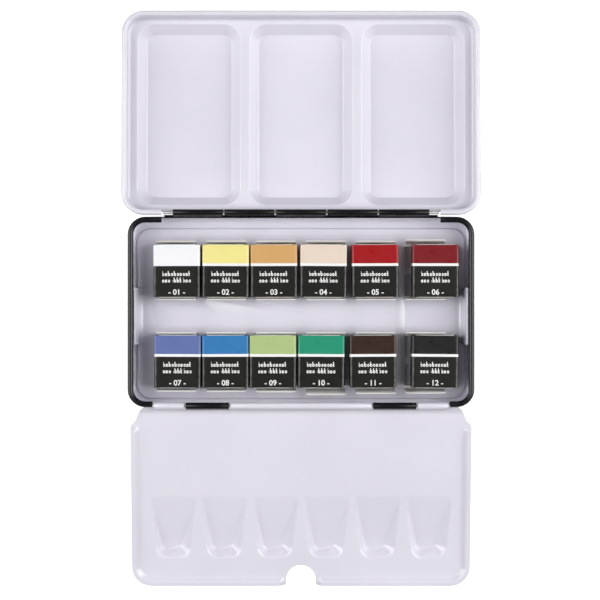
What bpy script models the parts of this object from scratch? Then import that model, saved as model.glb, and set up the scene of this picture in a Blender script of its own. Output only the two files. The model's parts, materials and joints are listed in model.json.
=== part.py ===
"""A folding enamelled-steel watercolour box with twelve wrapped half pans, fully open.

The frame is centred on the base's underside: +X to the right, +Y towards the lid, +Z up.
Lid, flap, tray and pans are modelled in their own frames and placed by the empties on
their joints' axes.  Lengths are in metres.
"""

import math

import bmesh
import bpy
from mathutils import Vector

MM = 0.001

# Fits
FIT = 0.3 * MM                  # gap between pieces that touch
PIN_FIT = 0.12 * MM             # radial gap between a hinge pin and its knuckles
KNUCKLE_GAP = 0.5 * MM          # end gap between neighbouring knuckles
TABLE_GAP = 0.05 * MM           # between the table and a leaf that lies on it

# Sheet metal
SHEET = 0.5 * MM
CORNER_STEPS = 6                # segments in a rounded corner
BEAD_STEPS = 10                 # segments around a rolled bead or knuckle
PIN_SIDES = 12

# Half pans in paper sleeves
PAN_WIDTH = 16.4 * MM           # outside of the sleeve, along X
PAN_LENGTH = 18.9 * MM          # outside of the cup, along Y
PAN_HEIGHT = 10.4 * MM          # outside of the sleeve
PAN_GAP = 1.2 * MM              # between neighbours in a row
PANS_IN_ROW = 6
SLEEVE_PAPER = 0.35 * MM
SLEEVE_SETBACK = 0.3 * MM       # how far the cup shows past the sleeve at each end
SLEEVE_CORNER = 0.6 * MM
CUP_WALL = 1.0 * MM
CUP_CORNER = 1.4 * MM
CUP_DRAFT = 0.3 * MM            # how much narrower the cup is at its foot
CAKE_DROP = 1.2 * MM            # cake's top below the cup's rim
PAN_SLIP_BACK = (0.25, -0.08, -0.60, -0.75, -0.25, 2.75)    # sideways slip, in pan gaps
PAN_SLIP_FRONT = (0.50, -0.17, -0.90, -1.40, -0.90, 2.60)
PAN_TURN_BACK = (0.3, -0.2, 0.2, -0.4, 0.3, 0.0)            # degrees
PAN_TURN_FRONT = (-0.2, 0.2, 0.0, -0.3, 0.3, -0.4)

# Pan tray
CHANNEL_WIDTH = 13.0 * MM       # between the two rows of pans
TRAY_FRONT_EDGE = 4.2 * MM      # from the front row to the tray's front edge
TRAY_BACK_EDGE = 5.9 * MM
TRAY_END_EDGE = 5.7 * MM        # from the last pan's place to the tray's end
TRAY_CORNER = 5.2 * MM
TRAY_SKIRT = 1.5 * MM
TONGUE_WIDTH = 14.0 * MM
TONGUE_SHORT = 2.0 * MM         # tongue lower than a pan is high
TONGUE_SHEET = 0.4 * MM
TONGUE_CORNER = 1.5 * MM
SIDE_TAB_LENGTH = 20.0 * MM
SIDE_TAB_PAST = 0.5 * MM        # side tab higher than a pan
SIDE_TAB_LEAN = 0.9 * MM
SIDE_TAB_INSET = 1.2 * MM       # foot of the tab, in from the tray's edge

# Base
RIM_OVER_PANS = 1.1 * MM        # from the pans' tops to the base's rim
BASE_CORNER = 6.3 * MM
BASE_FOOT_RADIUS = 2.0 * MM
BASE_BEAD = 1.05 * MM           # radius
BASE_SIDE_GAP = 2.0 * MM        # from the tray to the side walls
BASE_BACK_GAP = 3.2 * MM        # from the tray to the back wall
WALL_CUT_BACK = 1.9 * MM        # how far the wall stops below the rim in the hinge zones
WALL_CUT_FRONT = 2.2 * MM
KNUCKLE_ROOT_DROP = 0.9 * MM    # how far a knuckle's sheet runs down into the cut-down wall

# Lid
LID_SIDE_FIT = 0.3 * MM         # inside of the lid's wall to the outside of the base
LID_FRONT_FIT = 1.0 * MM
LID_BEAD = 1.0 * MM
LID_CORNER = 6.0 * MM           # inside
LID_OVERLAP = 1.2 * MM          # how far the closed lid's rim hangs below the base's rim
LID_LEDGE_FILLET = 1.5 * MM     # outside
LID_LEDGE_SIDE = 3.1 * MM
LID_LEDGE_END = 1.7 * MM
LID_WELL_DEPTH = 4.5 * MM
LID_WELL_SLOPE = 3.6 * MM       # run of a well's sloping wall
LID_WELL_CORNER = 6.5 * MM
LID_RIDGE = 2.8 * MM            # top of the ridge between two wells
LID_WELLS = 3
LID_HOLLOW_RISE = 0.5 * MM      # how far the tools that hollow the wells stand over the ledge

# Lid hinge, along the back
LID_AXIS_OUT = 1.5 * MM         # axis behind the base's back wall
LID_AXIS_DROP = 0.5 * MM        # axis below the base's rim
LID_KNUCKLE = 1.07 * MM         # outer radius
LID_KNUCKLE_SHEET = 0.44 * MM
LID_KNUCKLE_ROOT = 0.8 * MM     # how far a lid knuckle's sheet runs down into the lid's wall
LID_KNUCKLES = 5
LID_PIN_PAST = 4.0 * MM         # pin past the last knuckle

# Mixing flap
FLAP_SIDE_IN = 0.85 * MM        # flap's side edge, in from the base's side
FLAP_END_IN = 0.9 * MM          # closed flap's end, in from the base's back face
FLAP_CORNER = 7.0 * MM
FLAP_FACE_DROP = 2.0 * MM       # mixing face below the axis
FLAP_LIP_RISE = 1.2 * MM
FLAP_LIP_BAND = 1.4 * MM
FLAP_LIP_SLOPE = 2.4 * MM
FLAP_ROOT = 2.6 * MM            # from the axis to the plate's hinge edge
FLAP_SHOULDER = 6.8 * MM        # corners cut off at the hinge edge
THUMB_NOTCH_WIDTH = 10.4 * MM
THUMB_NOTCH_DEPTH = 7.4 * MM
FLAP_WELLS = 6
FLAP_WELLS_MARGIN = 5.7 * MM    # plate left outside the row of wells, each side
FLAP_WELL_GAP = 2.15 * MM       # between two wells
FLAP_WELL_LENGTH = 21.0 * MM    # from the shallow end to the deep end
FLAP_WELL_FRONT = 11.1 * MM     # from the deep end to the flap's front edge
FLAP_WELL_DEPTH = 3.0 * MM
FLAP_WELL_SLOPE = 2.4 * MM
FLAP_HOLLOW_RISE = 0.4 * MM     # how far the tools that hollow the wells stand over the plate

# Flap hinge, along the front
FLAP_AXIS_IN = 0.5 * MM         # axis inside the base's front face
FLAP_AXIS_DROP = 0.7 * MM       # axis below the base's rim
FLAP_KNUCKLE = 1.2 * MM
FLAP_KNUCKLE_SHEET = 0.5 * MM
FLAP_HINGE_MARGIN = 9.3 * MM    # from the last knuckle's end to the base's side
FLAP_BASE_KNUCKLE = 15.2 * MM
FLAP_END_KNUCKLE = 10.7 * MM
FLAP_PIN_PAST = 1.6 * MM

# ---------------------------------------------------------------- derived sizes

pan_pitch = PAN_WIDTH + PAN_GAP
lid_knuckle_length = pan_pitch
tongue_height = PAN_HEIGHT - TONGUE_SHORT
side_tab_height = PAN_HEIGHT + SIDE_TAB_PAST
row_reach = (CHANNEL_WIDTH + PAN_LENGTH) / 2
tray_half_x = PANS_IN_ROW * pan_pitch / 2 + TRAY_END_EDGE
tray_depth = 2 * PAN_LENGTH + CHANNEL_WIDTH + TRAY_FRONT_EDGE + TRAY_BACK_EDGE
bead_overhang = 2 * BASE_BEAD - SHEET
base_half_x = tray_half_x + BASE_SIDE_GAP + SHEET
base_half_y = (bead_overhang + FIT + tray_depth + BASE_BACK_GAP) / 2 + SHEET
tray_front = -base_half_y + SHEET + bead_overhang + FIT
tray_centre_y = tray_front + tray_depth / 2
rows_centre_y = tray_front + TRAY_FRONT_EDGE + PAN_LENGTH + CHANNEL_WIDTH / 2
tray_top = SHEET + FIT + TRAY_SKIRT
pan_foot = tray_top + FIT
base_height = pan_foot + PAN_HEIGHT + RIM_OVER_PANS

flap_width = 2 * (base_half_x - FLAP_SIDE_IN)
flap_reach = 2 * base_half_y - FLAP_AXIS_IN - FLAP_END_IN
flap_well_pitch = (flap_width - 2 * FLAP_WELLS_MARGIN) / FLAP_WELLS
flap_well_width = flap_well_pitch - FLAP_WELL_GAP
flap_well_end = flap_reach - FLAP_WELL_FRONT
flap_well_start = flap_well_end - FLAP_WELL_LENGTH
flap_axis = Vector((0, -base_half_y + FLAP_AXIS_IN, base_height - FLAP_AXIS_DROP))
flap_zone = base_half_x - FLAP_HINGE_MARGIN
flap_middle_knuckle = 2 * (flap_zone - FLAP_BASE_KNUCKLE - FLAP_END_KNUCKLE - 2 * KNUCKLE_GAP)
closed_flap_top = flap_axis.z + FLAP_FACE_DROP + SHEET + FLAP_WELL_DEPTH

lid_axis = Vector((0, base_half_y + LID_AXIS_OUT, base_height - LID_AXIS_DROP))
lid_rim_height = base_height - LID_OVERLAP      # above the table, closed
lid_rim = lid_axis.z - lid_rim_height
lid_half_x = base_half_x + LID_SIDE_FIT
lid_near = LID_KNUCKLE - LID_KNUCKLE_SHEET / 2 + SHEET / 2
lid_far = lid_axis.y + base_half_y + LID_FRONT_FIT
lid_ledge = lid_rim - (closed_flap_top + FIT - lid_rim_height)
lid_floor = lid_ledge - LID_WELL_DEPTH
lid_zone = LID_KNUCKLES * lid_knuckle_length / 2 + KNUCKLE_GAP * (LID_KNUCKLES - 1) / 2


def lie_angle(axis_height, reach, drop):
    """Return how far past level a leaf turns until its lowest point meets the table."""
    radius = math.hypot(reach, drop)
    return math.asin((axis_height - TABLE_GAP) / radius) - math.atan2(drop, reach)


lid_lie = lie_angle(lid_axis.z, lid_far - LID_LEDGE_END - LID_WELL_SLOPE + SHEET / 2, SHEET - lid_floor)
flap_lie = lie_angle(flap_axis.z, flap_well_end, FLAP_FACE_DROP + SHEET + FLAP_WELL_DEPTH)


# ---------------------------------------------------------------- scene and materials

def clear_scene():
    """Remove the objects that the file opened with."""
    for item in list(bpy.data.objects):
        bpy.data.objects.remove(item, do_unlink=True)


def new_collection(name):
    """Return a new collection linked to the scene."""
    group = bpy.data.collections.new(name)
    bpy.context.scene.collection.children.link(group)
    return group


def paint(target, colour, roughness, metallic=0.0):
    """Give an object its own Principled material."""
    material = bpy.data.materials.new(target.name)
    material.use_nodes = True
    shader = material.node_tree.nodes["Principled BSDF"]
    shader.inputs["Base Color"].default_value = (*colour, 1.0)
    shader.inputs["Roughness"].default_value = roughness
    shader.inputs["Metallic"].default_value = metallic
    target.data.materials.append(material)


WHITE_ENAMEL = (0.78, 0.77, 0.82)
BLACK_ENAMEL = (0.02, 0.02, 0.025)
STEEL = (0.55, 0.55, 0.56)
PAN_PLASTIC = (0.80, 0.80, 0.78)
LABEL_BLACK = (0.018, 0.018, 0.017)
PAINTS = (
    (0.90, 0.90, 0.92), (0.90, 0.79, 0.28), (0.72, 0.41, 0.16), (0.81, 0.65, 0.56),
    (0.42, 0.014, 0.019), (0.23, 0.019, 0.025), (0.12, 0.18, 0.44), (0.05, 0.21, 0.53),
    (0.44, 0.56, 0.24), (0.03, 0.31, 0.19), (0.05, 0.023, 0.014), (0.016, 0.016, 0.016),
)


# ---------------------------------------------------------------- shape tools

def rounded_rectangle(half_x, half_y, radius, steps=CORNER_STEPS):
    """Return the outline's points, anticlockwise from the middle of the +X side."""
    points = []
    for quarter, (side_x, side_y) in enumerate(((1, 1), (-1, 1), (-1, -1), (1, -1))):
        for step in range(steps + 1):
            angle = (quarter + step / steps) * math.pi / 2
            points.append((side_x * (half_x - radius) + radius * math.cos(angle),
                           side_y * (half_y - radius) + radius * math.sin(angle)))
    return points


def arc(centre, radius, start, end, steps):
    """Return the points of an arc between two angles in degrees, both ends included."""
    angles = [math.radians(start + (end - start) * step / steps) for step in range(steps + 1)]
    return [(centre[0] + radius * math.cos(a), centre[1] + radius * math.sin(a)) for a in angles]


def add_object(name, mesh_data, group, parent=None):
    """Turn a bmesh into a smooth-shaded object and free the bmesh."""
    bmesh.ops.recalc_face_normals(mesh_data, faces=mesh_data.faces)
    mesh = bpy.data.meshes.new(name)
    mesh_data.to_mesh(mesh)
    mesh_data.free()
    mesh.shade_smooth()
    mesh.set_sharp_from_angle(angle=math.radians(35))
    item = bpy.data.objects.new(name, mesh)
    item.parent = parent
    group.objects.link(item)
    return item


def loft(mesh_data, rings, closed=False):
    """Skin a row of equal rings; close it with two caps, or back onto its first ring."""
    rows = [[mesh_data.verts.new(point) for point in ring] for ring in rings]
    pairs = list(zip(rows, rows[1:]))
    if closed:
        pairs.append((rows[-1], rows[0]))
    for lower, upper in pairs:
        for here in range(len(lower)):
            after = (here + 1) % len(lower)
            mesh_data.faces.new((lower[here], lower[after], upper[after], upper[here]))
    if not closed:
        mesh_data.faces.new(reversed(rows[0]))
        mesh_data.faces.new(rows[-1])


def drawn_sheet(half_x, half_y, radius, profile, centre_y=0.0, steps=CORNER_STEPS):
    """Return a bmesh of a drawn shell: a section carried round a rounded rectangle.

    The section's points are (outset from the outline, height), from the middle of the
    underside round the rim to the middle of the top.
    """
    mesh_data = bmesh.new()
    rings = []
    for outset, height in profile:
        corner = max(radius + outset, 0.2 * MM)
        outline = rounded_rectangle(half_x + outset, half_y + outset, corner, steps)
        rings.append([(x, centre_y + y, height) for x, y in outline])
    loft(mesh_data, rings)
    return mesh_data


def add_hull(mesh_data, points):
    """Add the convex body around some points."""
    verts = [mesh_data.verts.new(point) for point in points]
    result = bmesh.ops.convex_hull(mesh_data, input=verts)
    loose = [item for item in result["geom_interior"] if isinstance(item, bmesh.types.BMVert)]
    bmesh.ops.delete(mesh_data, geom=loose, context="VERTS")


def add_box(mesh_data, low, high):
    """Add a box between two corners."""
    centre = [(a + b) / 2 for a, b in zip(low, high)]
    made = bmesh.ops.create_cube(mesh_data, size=1.0)
    bmesh.ops.scale(mesh_data, vec=[b - a for a, b in zip(low, high)], verts=made["verts"])
    bmesh.ops.translate(mesh_data, vec=centre, verts=made["verts"])


def add_outline(mesh_data, outline, start, end):
    """Add an outline in the YZ plane, drawn out along X from start to end."""
    face = mesh_data.faces.new([mesh_data.verts.new((start, y, z)) for y, z in outline])
    made = bmesh.ops.extrude_face_region(mesh_data, geom=[face])
    moved = [item for item in made["geom"] if isinstance(item, bmesh.types.BMVert)]
    bmesh.ops.translate(mesh_data, vec=(end - start, 0, 0), verts=moved)


def curl(centre, radius, sheet, root, side, wrap=300.0):
    """Return the outline of a sheet edge rolled into a knuckle.

    The sheet comes straight from its root to touch the roll; side is 1 where the roll
    turns anticlockwise from there and -1 where it turns clockwise.
    """
    middle = radius - sheet / 2
    to_centre = Vector((centre[0] - root[0], centre[1] - root[1]))
    lean = side * math.asin(middle / to_centre.length)
    heading = math.degrees(math.atan2(to_centre.y, to_centre.x) - lean)
    start = heading - 90 * side
    outer = arc(centre, radius, start, start + side * wrap, BEAD_STEPS)
    inner = arc(centre, radius - sheet, start + side * wrap, start, BEAD_STEPS)
    across = Vector((math.cos(math.radians(start)), math.sin(math.radians(start)))) * sheet / 2
    return outer + inner + [tuple(Vector(root) - across), tuple(Vector(root) + across)]


def shape(target, tool, operation):
    """Join or cut with another object, which the build leaves out."""
    tool.hide_render = True
    tool.display_type = "WIRE"
    modifier = target.modifiers.new(tool.name, "BOOLEAN")
    modifier.operation = operation
    modifier.object = tool


def knuckle_spans(lengths):
    """Return each knuckle's start and end along X for a row centred on the box."""
    total = sum(lengths) + KNUCKLE_GAP * (len(lengths) - 1)
    spans = []
    start = -total / 2
    for length in lengths:
        spans.append((start, start + length))
        start += length + KNUCKLE_GAP
    return spans


def hinge_empty(name, place, group, turn=(0, 0, 0), parent=None):
    """Return an empty on a joint's axis."""
    empty = bpy.data.objects.new(name, None)
    empty.empty_display_size = 5 * MM
    empty.location = place
    empty.rotation_euler = turn
    empty.parent = parent
    group.objects.link(empty)
    return empty


# ---------------------------------------------------------------- pieces

LID_SPANS = knuckle_spans([lid_knuckle_length] * LID_KNUCKLES)
FLAP_SPANS = knuckle_spans([FLAP_END_KNUCKLE, FLAP_BASE_KNUCKLE, flap_middle_knuckle,
                            FLAP_BASE_KNUCKLE, FLAP_END_KNUCKLE])


def base_profile():
    """Return the base's section: rounded foot, upright wall, bead rolled inwards."""
    foot = (-BASE_FOOT_RADIUS, BASE_FOOT_RADIUS)
    bead = (-BASE_BEAD, base_height - BASE_BEAD)
    meets_wall = math.degrees(math.acos((BASE_BEAD - SHEET) / BASE_BEAD))
    return (arc(foot, BASE_FOOT_RADIUS, -90, 0, 4)
            + arc(bead, BASE_BEAD, 0, 360 - meets_wall, BEAD_STEPS)
            + arc(foot, BASE_FOOT_RADIUS - SHEET, 0, -90, 4))


def build_base(group, tools):
    """Build the drawn base with its beads, cut-down hinge walls and knuckles."""
    base = add_object("base_shell", drawn_sheet(base_half_x, base_half_y, BASE_CORNER, base_profile()), group)
    beyond = 2 * BASE_BEAD + 2 * MM
    cutter = bmesh.new()
    back_zone = lid_zone + LID_PIN_PAST
    add_box(cutter, (-back_zone, base_half_y - 2 * BASE_BEAD - FIT, base_height - WALL_CUT_BACK),
            (back_zone, base_half_y + beyond, base_height + beyond))
    front_zone = flap_zone + 2 * KNUCKLE_GAP
    add_box(cutter, (-front_zone, -base_half_y - beyond, base_height - WALL_CUT_FRONT),
            (front_zone, -base_half_y + 2 * BASE_BEAD + FIT, base_height + beyond))
    shape(base, add_object("hinge_wall_cutter", cutter, tools), "DIFFERENCE")
    knuckles = bmesh.new()
    wall = base_half_y - SHEET / 2
    back_root = (wall, base_height - WALL_CUT_BACK - KNUCKLE_ROOT_DROP)
    back_curl = curl((lid_axis.y, lid_axis.z), LID_KNUCKLE, LID_KNUCKLE_SHEET, back_root, 1)
    for start, end in LID_SPANS[0::2]:
        add_outline(knuckles, back_curl, start, end)
    front_root = (-wall, base_height - WALL_CUT_FRONT - KNUCKLE_ROOT_DROP)
    front_curl = curl((flap_axis.y, flap_axis.z), FLAP_KNUCKLE, FLAP_KNUCKLE_SHEET, front_root, -1)
    for start, end in FLAP_SPANS[1::2]:
        add_outline(knuckles, front_curl, start, end)
    shape(base, add_object("base_knuckles", knuckles, tools), "UNION")
    paint(base, BLACK_ENAMEL, 0.35)
    return base


def build_pin(name, axis, radius, half_length, group):
    """Build a hinge pin along X."""
    mesh_data = bmesh.new()
    bmesh.ops.create_cone(mesh_data, cap_ends=True, segments=PIN_SIDES, radius1=radius,
                          radius2=radius, depth=2 * half_length)
    pin = add_object(name, mesh_data, group)
    pin.location = axis
    pin.rotation_euler = (0, math.pi / 2, 0)
    paint(pin, STEEL, 0.3, 1.0)
    return pin


def well_body(half_x, half_y, centre, top, floor, slope, corner, spread):
    """Return the points around one sloping well, spread outwards by a sheet."""
    upper = rounded_rectangle(half_x + spread, half_y + spread, corner + spread, 4)
    lower = rounded_rectangle(half_x - slope + spread, half_y - slope + spread,
                              max(corner - slope, MM) + spread, 4)
    return ([(centre[0] + x, centre[1] + y, top) for x, y in upper]
            + [(centre[0] + x, centre[1] + y, floor) for x, y in lower])


def lid_profile():
    """Return the lid's section: ledge, short wall, bead rolled outwards."""
    corner = (SHEET - LID_LEDGE_FILLET, lid_ledge - SHEET + LID_LEDGE_FILLET)
    bead = (LID_BEAD, lid_rim - LID_BEAD)
    meets_wall = math.degrees(math.acos((LID_BEAD - SHEET) / LID_BEAD))
    return (arc(corner, LID_LEDGE_FILLET, -90, 0, 3)
            + arc(bead, LID_BEAD, meets_wall - 180, 180, BEAD_STEPS)
            + arc(corner, LID_LEDGE_FILLET - SHEET, 0, -90, 3))


def build_lid(group, tools, hinge):
    """Build the lid in its hinge's frame: +Y away from the base, its inside up."""
    half_y = (lid_far - lid_near) / 2
    centre_y = (lid_far + lid_near) / 2
    lid = add_object("lid_shell", drawn_sheet(lid_half_x, half_y, LID_CORNER, lid_profile(), centre_y),
                     group, hinge)
    open_half_x = lid_half_x - LID_LEDGE_SIDE
    well_half_x = (open_half_x - LID_RIDGE * (LID_WELLS - 1) / 2) / LID_WELLS
    well_half_y = half_y - LID_LEDGE_END
    panels = bmesh.new()
    hollows = bmesh.new()
    for index in range(LID_WELLS):
        centre = ((index - (LID_WELLS - 1) / 2) * (2 * well_half_x + LID_RIDGE), centre_y)
        sizes = (LID_WELL_SLOPE, LID_WELL_CORNER)
        add_hull(panels, well_body(well_half_x, well_half_y, centre, lid_ledge - SHEET / 2,
                                   lid_floor - SHEET, *sizes, SHEET * 0.7))
        spill = LID_HOLLOW_RISE * LID_WELL_SLOPE / LID_WELL_DEPTH
        add_hull(hollows, well_body(well_half_x + spill, well_half_y + spill, centre, lid_ledge + LID_HOLLOW_RISE,
                                    lid_floor, LID_WELL_SLOPE + spill, LID_WELL_CORNER + spill, 0.0))
    shape(lid, add_object("lid_panels", panels, tools, hinge), "UNION")
    shape(lid, add_object("lid_hollows", hollows, tools, hinge), "DIFFERENCE")
    notch = bmesh.new()
    zone = lid_zone + LID_PIN_PAST
    wall_top = -LID_KNUCKLE - FIT
    add_box(notch, (-zone, lid_near - 2 * LID_BEAD - MM, wall_top), (zone, lid_near + 0.2 * MM, lid_rim + MM))
    shape(lid, add_object("lid_notch", notch, tools, hinge), "DIFFERENCE")
    knuckles = bmesh.new()
    root = (lid_near - SHEET / 2, wall_top - LID_KNUCKLE_ROOT)
    outline = curl((0, 0), LID_KNUCKLE, LID_KNUCKLE_SHEET, root, 1)
    for start, end in LID_SPANS[1::2]:
        add_outline(knuckles, outline, start, end)
    shape(lid, add_object("lid_knuckles", knuckles, tools, hinge), "UNION")
    paint(lid, WHITE_ENAMEL, 0.25)
    return lid


def flap_profile():
    """Return the flap's section: flat plate, sloping step, level lip."""
    face = -FLAP_FACE_DROP
    lip = face + FLAP_LIP_RISE
    inner = -FLAP_LIP_BAND - FLAP_LIP_SLOPE
    return [(inner - SHEET / 2, face - SHEET), (-FLAP_LIP_BAND - SHEET / 2, lip - SHEET),
            (0.0, lip - SHEET), (0.0, lip), (-FLAP_LIP_BAND, lip), (inner, face)]


def flap_well(centre_x, spread, top, rise):
    """Return the points around one wedge-shaped mixing well, round at its deep end."""
    half = flap_well_width / 2 + spread
    spill = rise * FLAP_WELL_SLOPE / FLAP_WELL_DEPTH
    start = flap_well_start - spread
    run = flap_well_end - flap_well_start
    points = []
    for shrink, deep in ((-spill, False), (FLAP_WELL_SLOPE, True)):
        radius = half - shrink
        end = flap_well_end + spread - shrink
        for x, y in [(-radius, start)] + arc((0, end - radius), radius, 180, 0, 10) + [(radius, start)]:
            level = top + rise
            if deep:
                level = top - FLAP_WELL_DEPTH * max(y - start, 0) / (run - FLAP_WELL_SLOPE)
                x = x if y > start else x * (half / radius)
            points.append((centre_x + x, y, level))
    return points


def build_flap(group, tools, hinge):
    """Build the mixing flap in its hinge's frame: +Y away from the base, its face up."""
    back = -3 * FLAP_CORNER
    flap = add_object("mixing_flap", drawn_sheet(flap_width / 2, (flap_reach - back) / 2, FLAP_CORNER,
                                                 flap_profile(), (flap_reach + back) / 2), group, hinge)
    face = -FLAP_FACE_DROP
    bosses = bmesh.new()
    hollows = bmesh.new()
    for index in range(FLAP_WELLS):
        centre_x = (index - (FLAP_WELLS - 1) / 2) * flap_well_pitch
        add_hull(bosses, flap_well(centre_x, SHEET * 0.8, face - SHEET, SHEET / 2))
        add_hull(hollows, flap_well(centre_x, 0.0, face, FLAP_HOLLOW_RISE))
    shape(flap, add_object("flap_bosses", bosses, tools, hinge), "UNION")
    shape(flap, add_object("flap_hollows", hollows, tools, hinge), "DIFFERENCE")
    cutter = bmesh.new()
    wide = flap_width
    add_box(cutter, (-wide, back - MM, -wide / 8), (wide, FLAP_ROOT, wide / 8))
    shape(flap, add_object("flap_root_cutter", cutter, tools, hinge), "DIFFERENCE")
    corners = bmesh.new()
    for side in (-1, 1):
        edge = side * (flap_width / 2 + MM)
        inner = side * (flap_width / 2 - FLAP_SHOULDER)
        near = FLAP_ROOT - MM
        add_hull(corners, [(x, y, z) for z in (-FLAP_CORNER, FLAP_CORNER)
                           for x, y in ((edge, near), (inner - side * MM, near),
                                        (edge, FLAP_ROOT + FLAP_SHOULDER + MM))])
    notch_radius = THUMB_NOTCH_WIDTH / 2
    straight = flap_reach - THUMB_NOTCH_DEPTH + notch_radius
    add_hull(corners, [(x, y, z) for z in (-FLAP_CORNER, FLAP_CORNER)
                       for x, y in arc((0, straight), notch_radius, 180, 360, 12)
                       + [(-notch_radius, flap_reach + MM), (notch_radius, flap_reach + MM)]])
    shape(flap, add_object("flap_corner_cutters", corners, tools, hinge), "DIFFERENCE")
    knuckles = bmesh.new()
    rolled = arc((0, 0), FLAP_KNUCKLE, -90, -90 - 300, BEAD_STEPS)
    hollow = arc((0, 0), FLAP_KNUCKLE - FLAP_KNUCKLE_SHEET, -90 - 300, -90, BEAD_STEPS)
    jog = [(FLAP_KNUCKLE + 0.2 * MM, -FLAP_KNUCKLE + FLAP_KNUCKLE_SHEET),
           (FLAP_ROOT + 0.4 * MM, face - 0.06 * MM), (FLAP_ROOT + 1.4 * MM, face - 0.06 * MM),
           (FLAP_ROOT + 1.4 * MM, face - SHEET + 0.06 * MM), (FLAP_ROOT + 0.1 * MM, face - SHEET + 0.06 * MM),
           (FLAP_KNUCKLE, -FLAP_KNUCKLE)]
    for start, end in FLAP_SPANS[0::2]:
        add_outline(knuckles, rolled + hollow + jog, start, end)
    shape(flap, add_object("flap_knuckles", knuckles, tools, hinge), "UNION")
    paint(flap, WHITE_ENAMEL, 0.25)
    return flap


def column_x(column):
    """Return the middle of a pan's place along its row."""
    return (column - (PANS_IN_ROW - 1) / 2) * pan_pitch


def build_tray(group, tools, lift):
    """Build the tray: plate with a skirt, a window and a tongue at both ends of each pan."""
    under = tray_top - SHEET
    skirt = tray_top - TRAY_SKIRT
    profile = [(-SHEET, under), (-SHEET, skirt), (0, skirt), (0, under),
               (-SHEET / 3, tray_top - SHEET / 3), (-SHEET, tray_top)]
    tray = add_object("pan_tray", drawn_sheet(tray_half_x, tray_depth / 2, TRAY_CORNER, profile,
                                              tray_centre_y), group, lift)
    windows = bmesh.new()
    tongues = bmesh.new()
    reach = PAN_LENGTH / 2 + FIT
    half = TONGUE_WIDTH / 2
    top = tray_top + tongue_height
    for row_y in (rows_centre_y - row_reach, rows_centre_y + row_reach):
        for column in range(PANS_IN_ROW):
            x = column_x(column)
            for side in (-1, 1):
                face = row_y + side * reach
                back = face + side * TONGUE_SHEET
                inner = face - side * min(tongue_height, reach - MM)
                add_box(windows, (x - half, min(face, inner), skirt - MM),
                        (x + half, max(face, inner), tray_top + MM))
                foot = tray_top - 0.8 * SHEET
                add_hull(tongues, [(x + dx, y, z) for y in (face, back)
                                   for dx, z in ((-half, foot), (half, foot), (half, top - TONGUE_CORNER),
                                                 (half - TONGUE_CORNER, top), (TONGUE_CORNER - half, top),
                                                 (-half, top - TONGUE_CORNER))])
    shape(tray, add_object("tray_windows", windows, tools, lift), "DIFFERENCE")
    for side in (-1, 1):
        foot = side * (tray_half_x - SIDE_TAB_INSET)
        head = foot + side * SIDE_TAB_LEAN
        half_tab = SIDE_TAB_LENGTH / 2
        outline = [(foot, tray_top - 0.8 * SHEET), (foot - side * SHEET, tray_top - 0.8 * SHEET),
                   (head - side * SHEET, tray_top + side_tab_height), (head, tray_top + side_tab_height)]
        add_hull(tongues, [(x, y, z) for x, z in outline
                           for y in (rows_centre_y - half_tab, rows_centre_y + half_tab)])
    shape(tray, add_object("tray_tongues", tongues, tools, lift), "UNION")
    paint(tray, WHITE_ENAMEL, 0.3)
    return tray


def build_pan(number, colour, group, lift):
    """Build one half pan in its own frame: cup, paint cake and paper sleeve."""
    sleeve_half = PAN_WIDTH / 2
    cup_half_x = sleeve_half - SLEEVE_PAPER - FIT
    cup_half_y = PAN_LENGTH / 2
    cup_foot = SLEEVE_PAPER + FIT
    cup_top = PAN_HEIGHT - SLEEVE_PAPER - FIT
    floor = cup_foot + CUP_WALL
    rim_in = -CUP_WALL
    foot_in = -CUP_DRAFT
    profile = [(foot_in, cup_foot), (0, cup_top), (rim_in, cup_top), (foot_in + rim_in, floor)]
    cup = add_object(f"pan_cup_{number:02d}", drawn_sheet(cup_half_x, cup_half_y, CUP_CORNER, profile, steps=2),
                     group, lift)
    paint(cup, PAN_PLASTIC, 0.4)
    cake_profile = [(foot_in + rim_in - FIT, floor + FIT), (rim_in - FIT - CUP_DRAFT / 3, cup_top - CAKE_DROP)]
    cake = add_object(f"paint_cake_{number:02d}",
                      drawn_sheet(cup_half_x, cup_half_y, CUP_CORNER + CUP_WALL, cake_profile, steps=2),
                      group, lift)
    paint(cake, colour, 0.6)
    half_length = cup_half_y - SLEEVE_SETBACK
    middle = PAN_HEIGHT / 2
    rings = []
    for y, inset in ((half_length, 0), (-half_length, 0), (-half_length, SLEEVE_PAPER), (half_length, SLEEVE_PAPER)):
        outline = rounded_rectangle(sleeve_half - inset, middle - inset, SLEEVE_CORNER - inset, 2)
        rings.append([(x, y, middle + z) for x, z in outline])
    sleeve = bmesh.new()
    loft(sleeve, rings, closed=True)
    label = add_object(f"label_{number:02d}", sleeve, group, lift)
    paint(label, LABEL_BLACK, 0.3)


def build_pans(group, tray_lift):
    """Place the twelve pans, the back row first, each on the empty of its own lift."""
    rows = ((rows_centre_y + row_reach, PAN_SLIP_BACK, PAN_TURN_BACK),
            (rows_centre_y - row_reach, PAN_SLIP_FRONT, PAN_TURN_FRONT))
    number = 0
    for row_y, slips, turns in rows:
        for column, (slip, turn) in enumerate(zip(slips, turns)):
            number += 1
            place = (column_x(column) + slip * PAN_GAP, row_y, pan_foot)
            lift = hinge_empty(f"pan_lift_{number:02d}", place, group, (0, 0, math.radians(turn)), tray_lift)
            build_pan(number, PAINTS[number - 1], group, lift)


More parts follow.
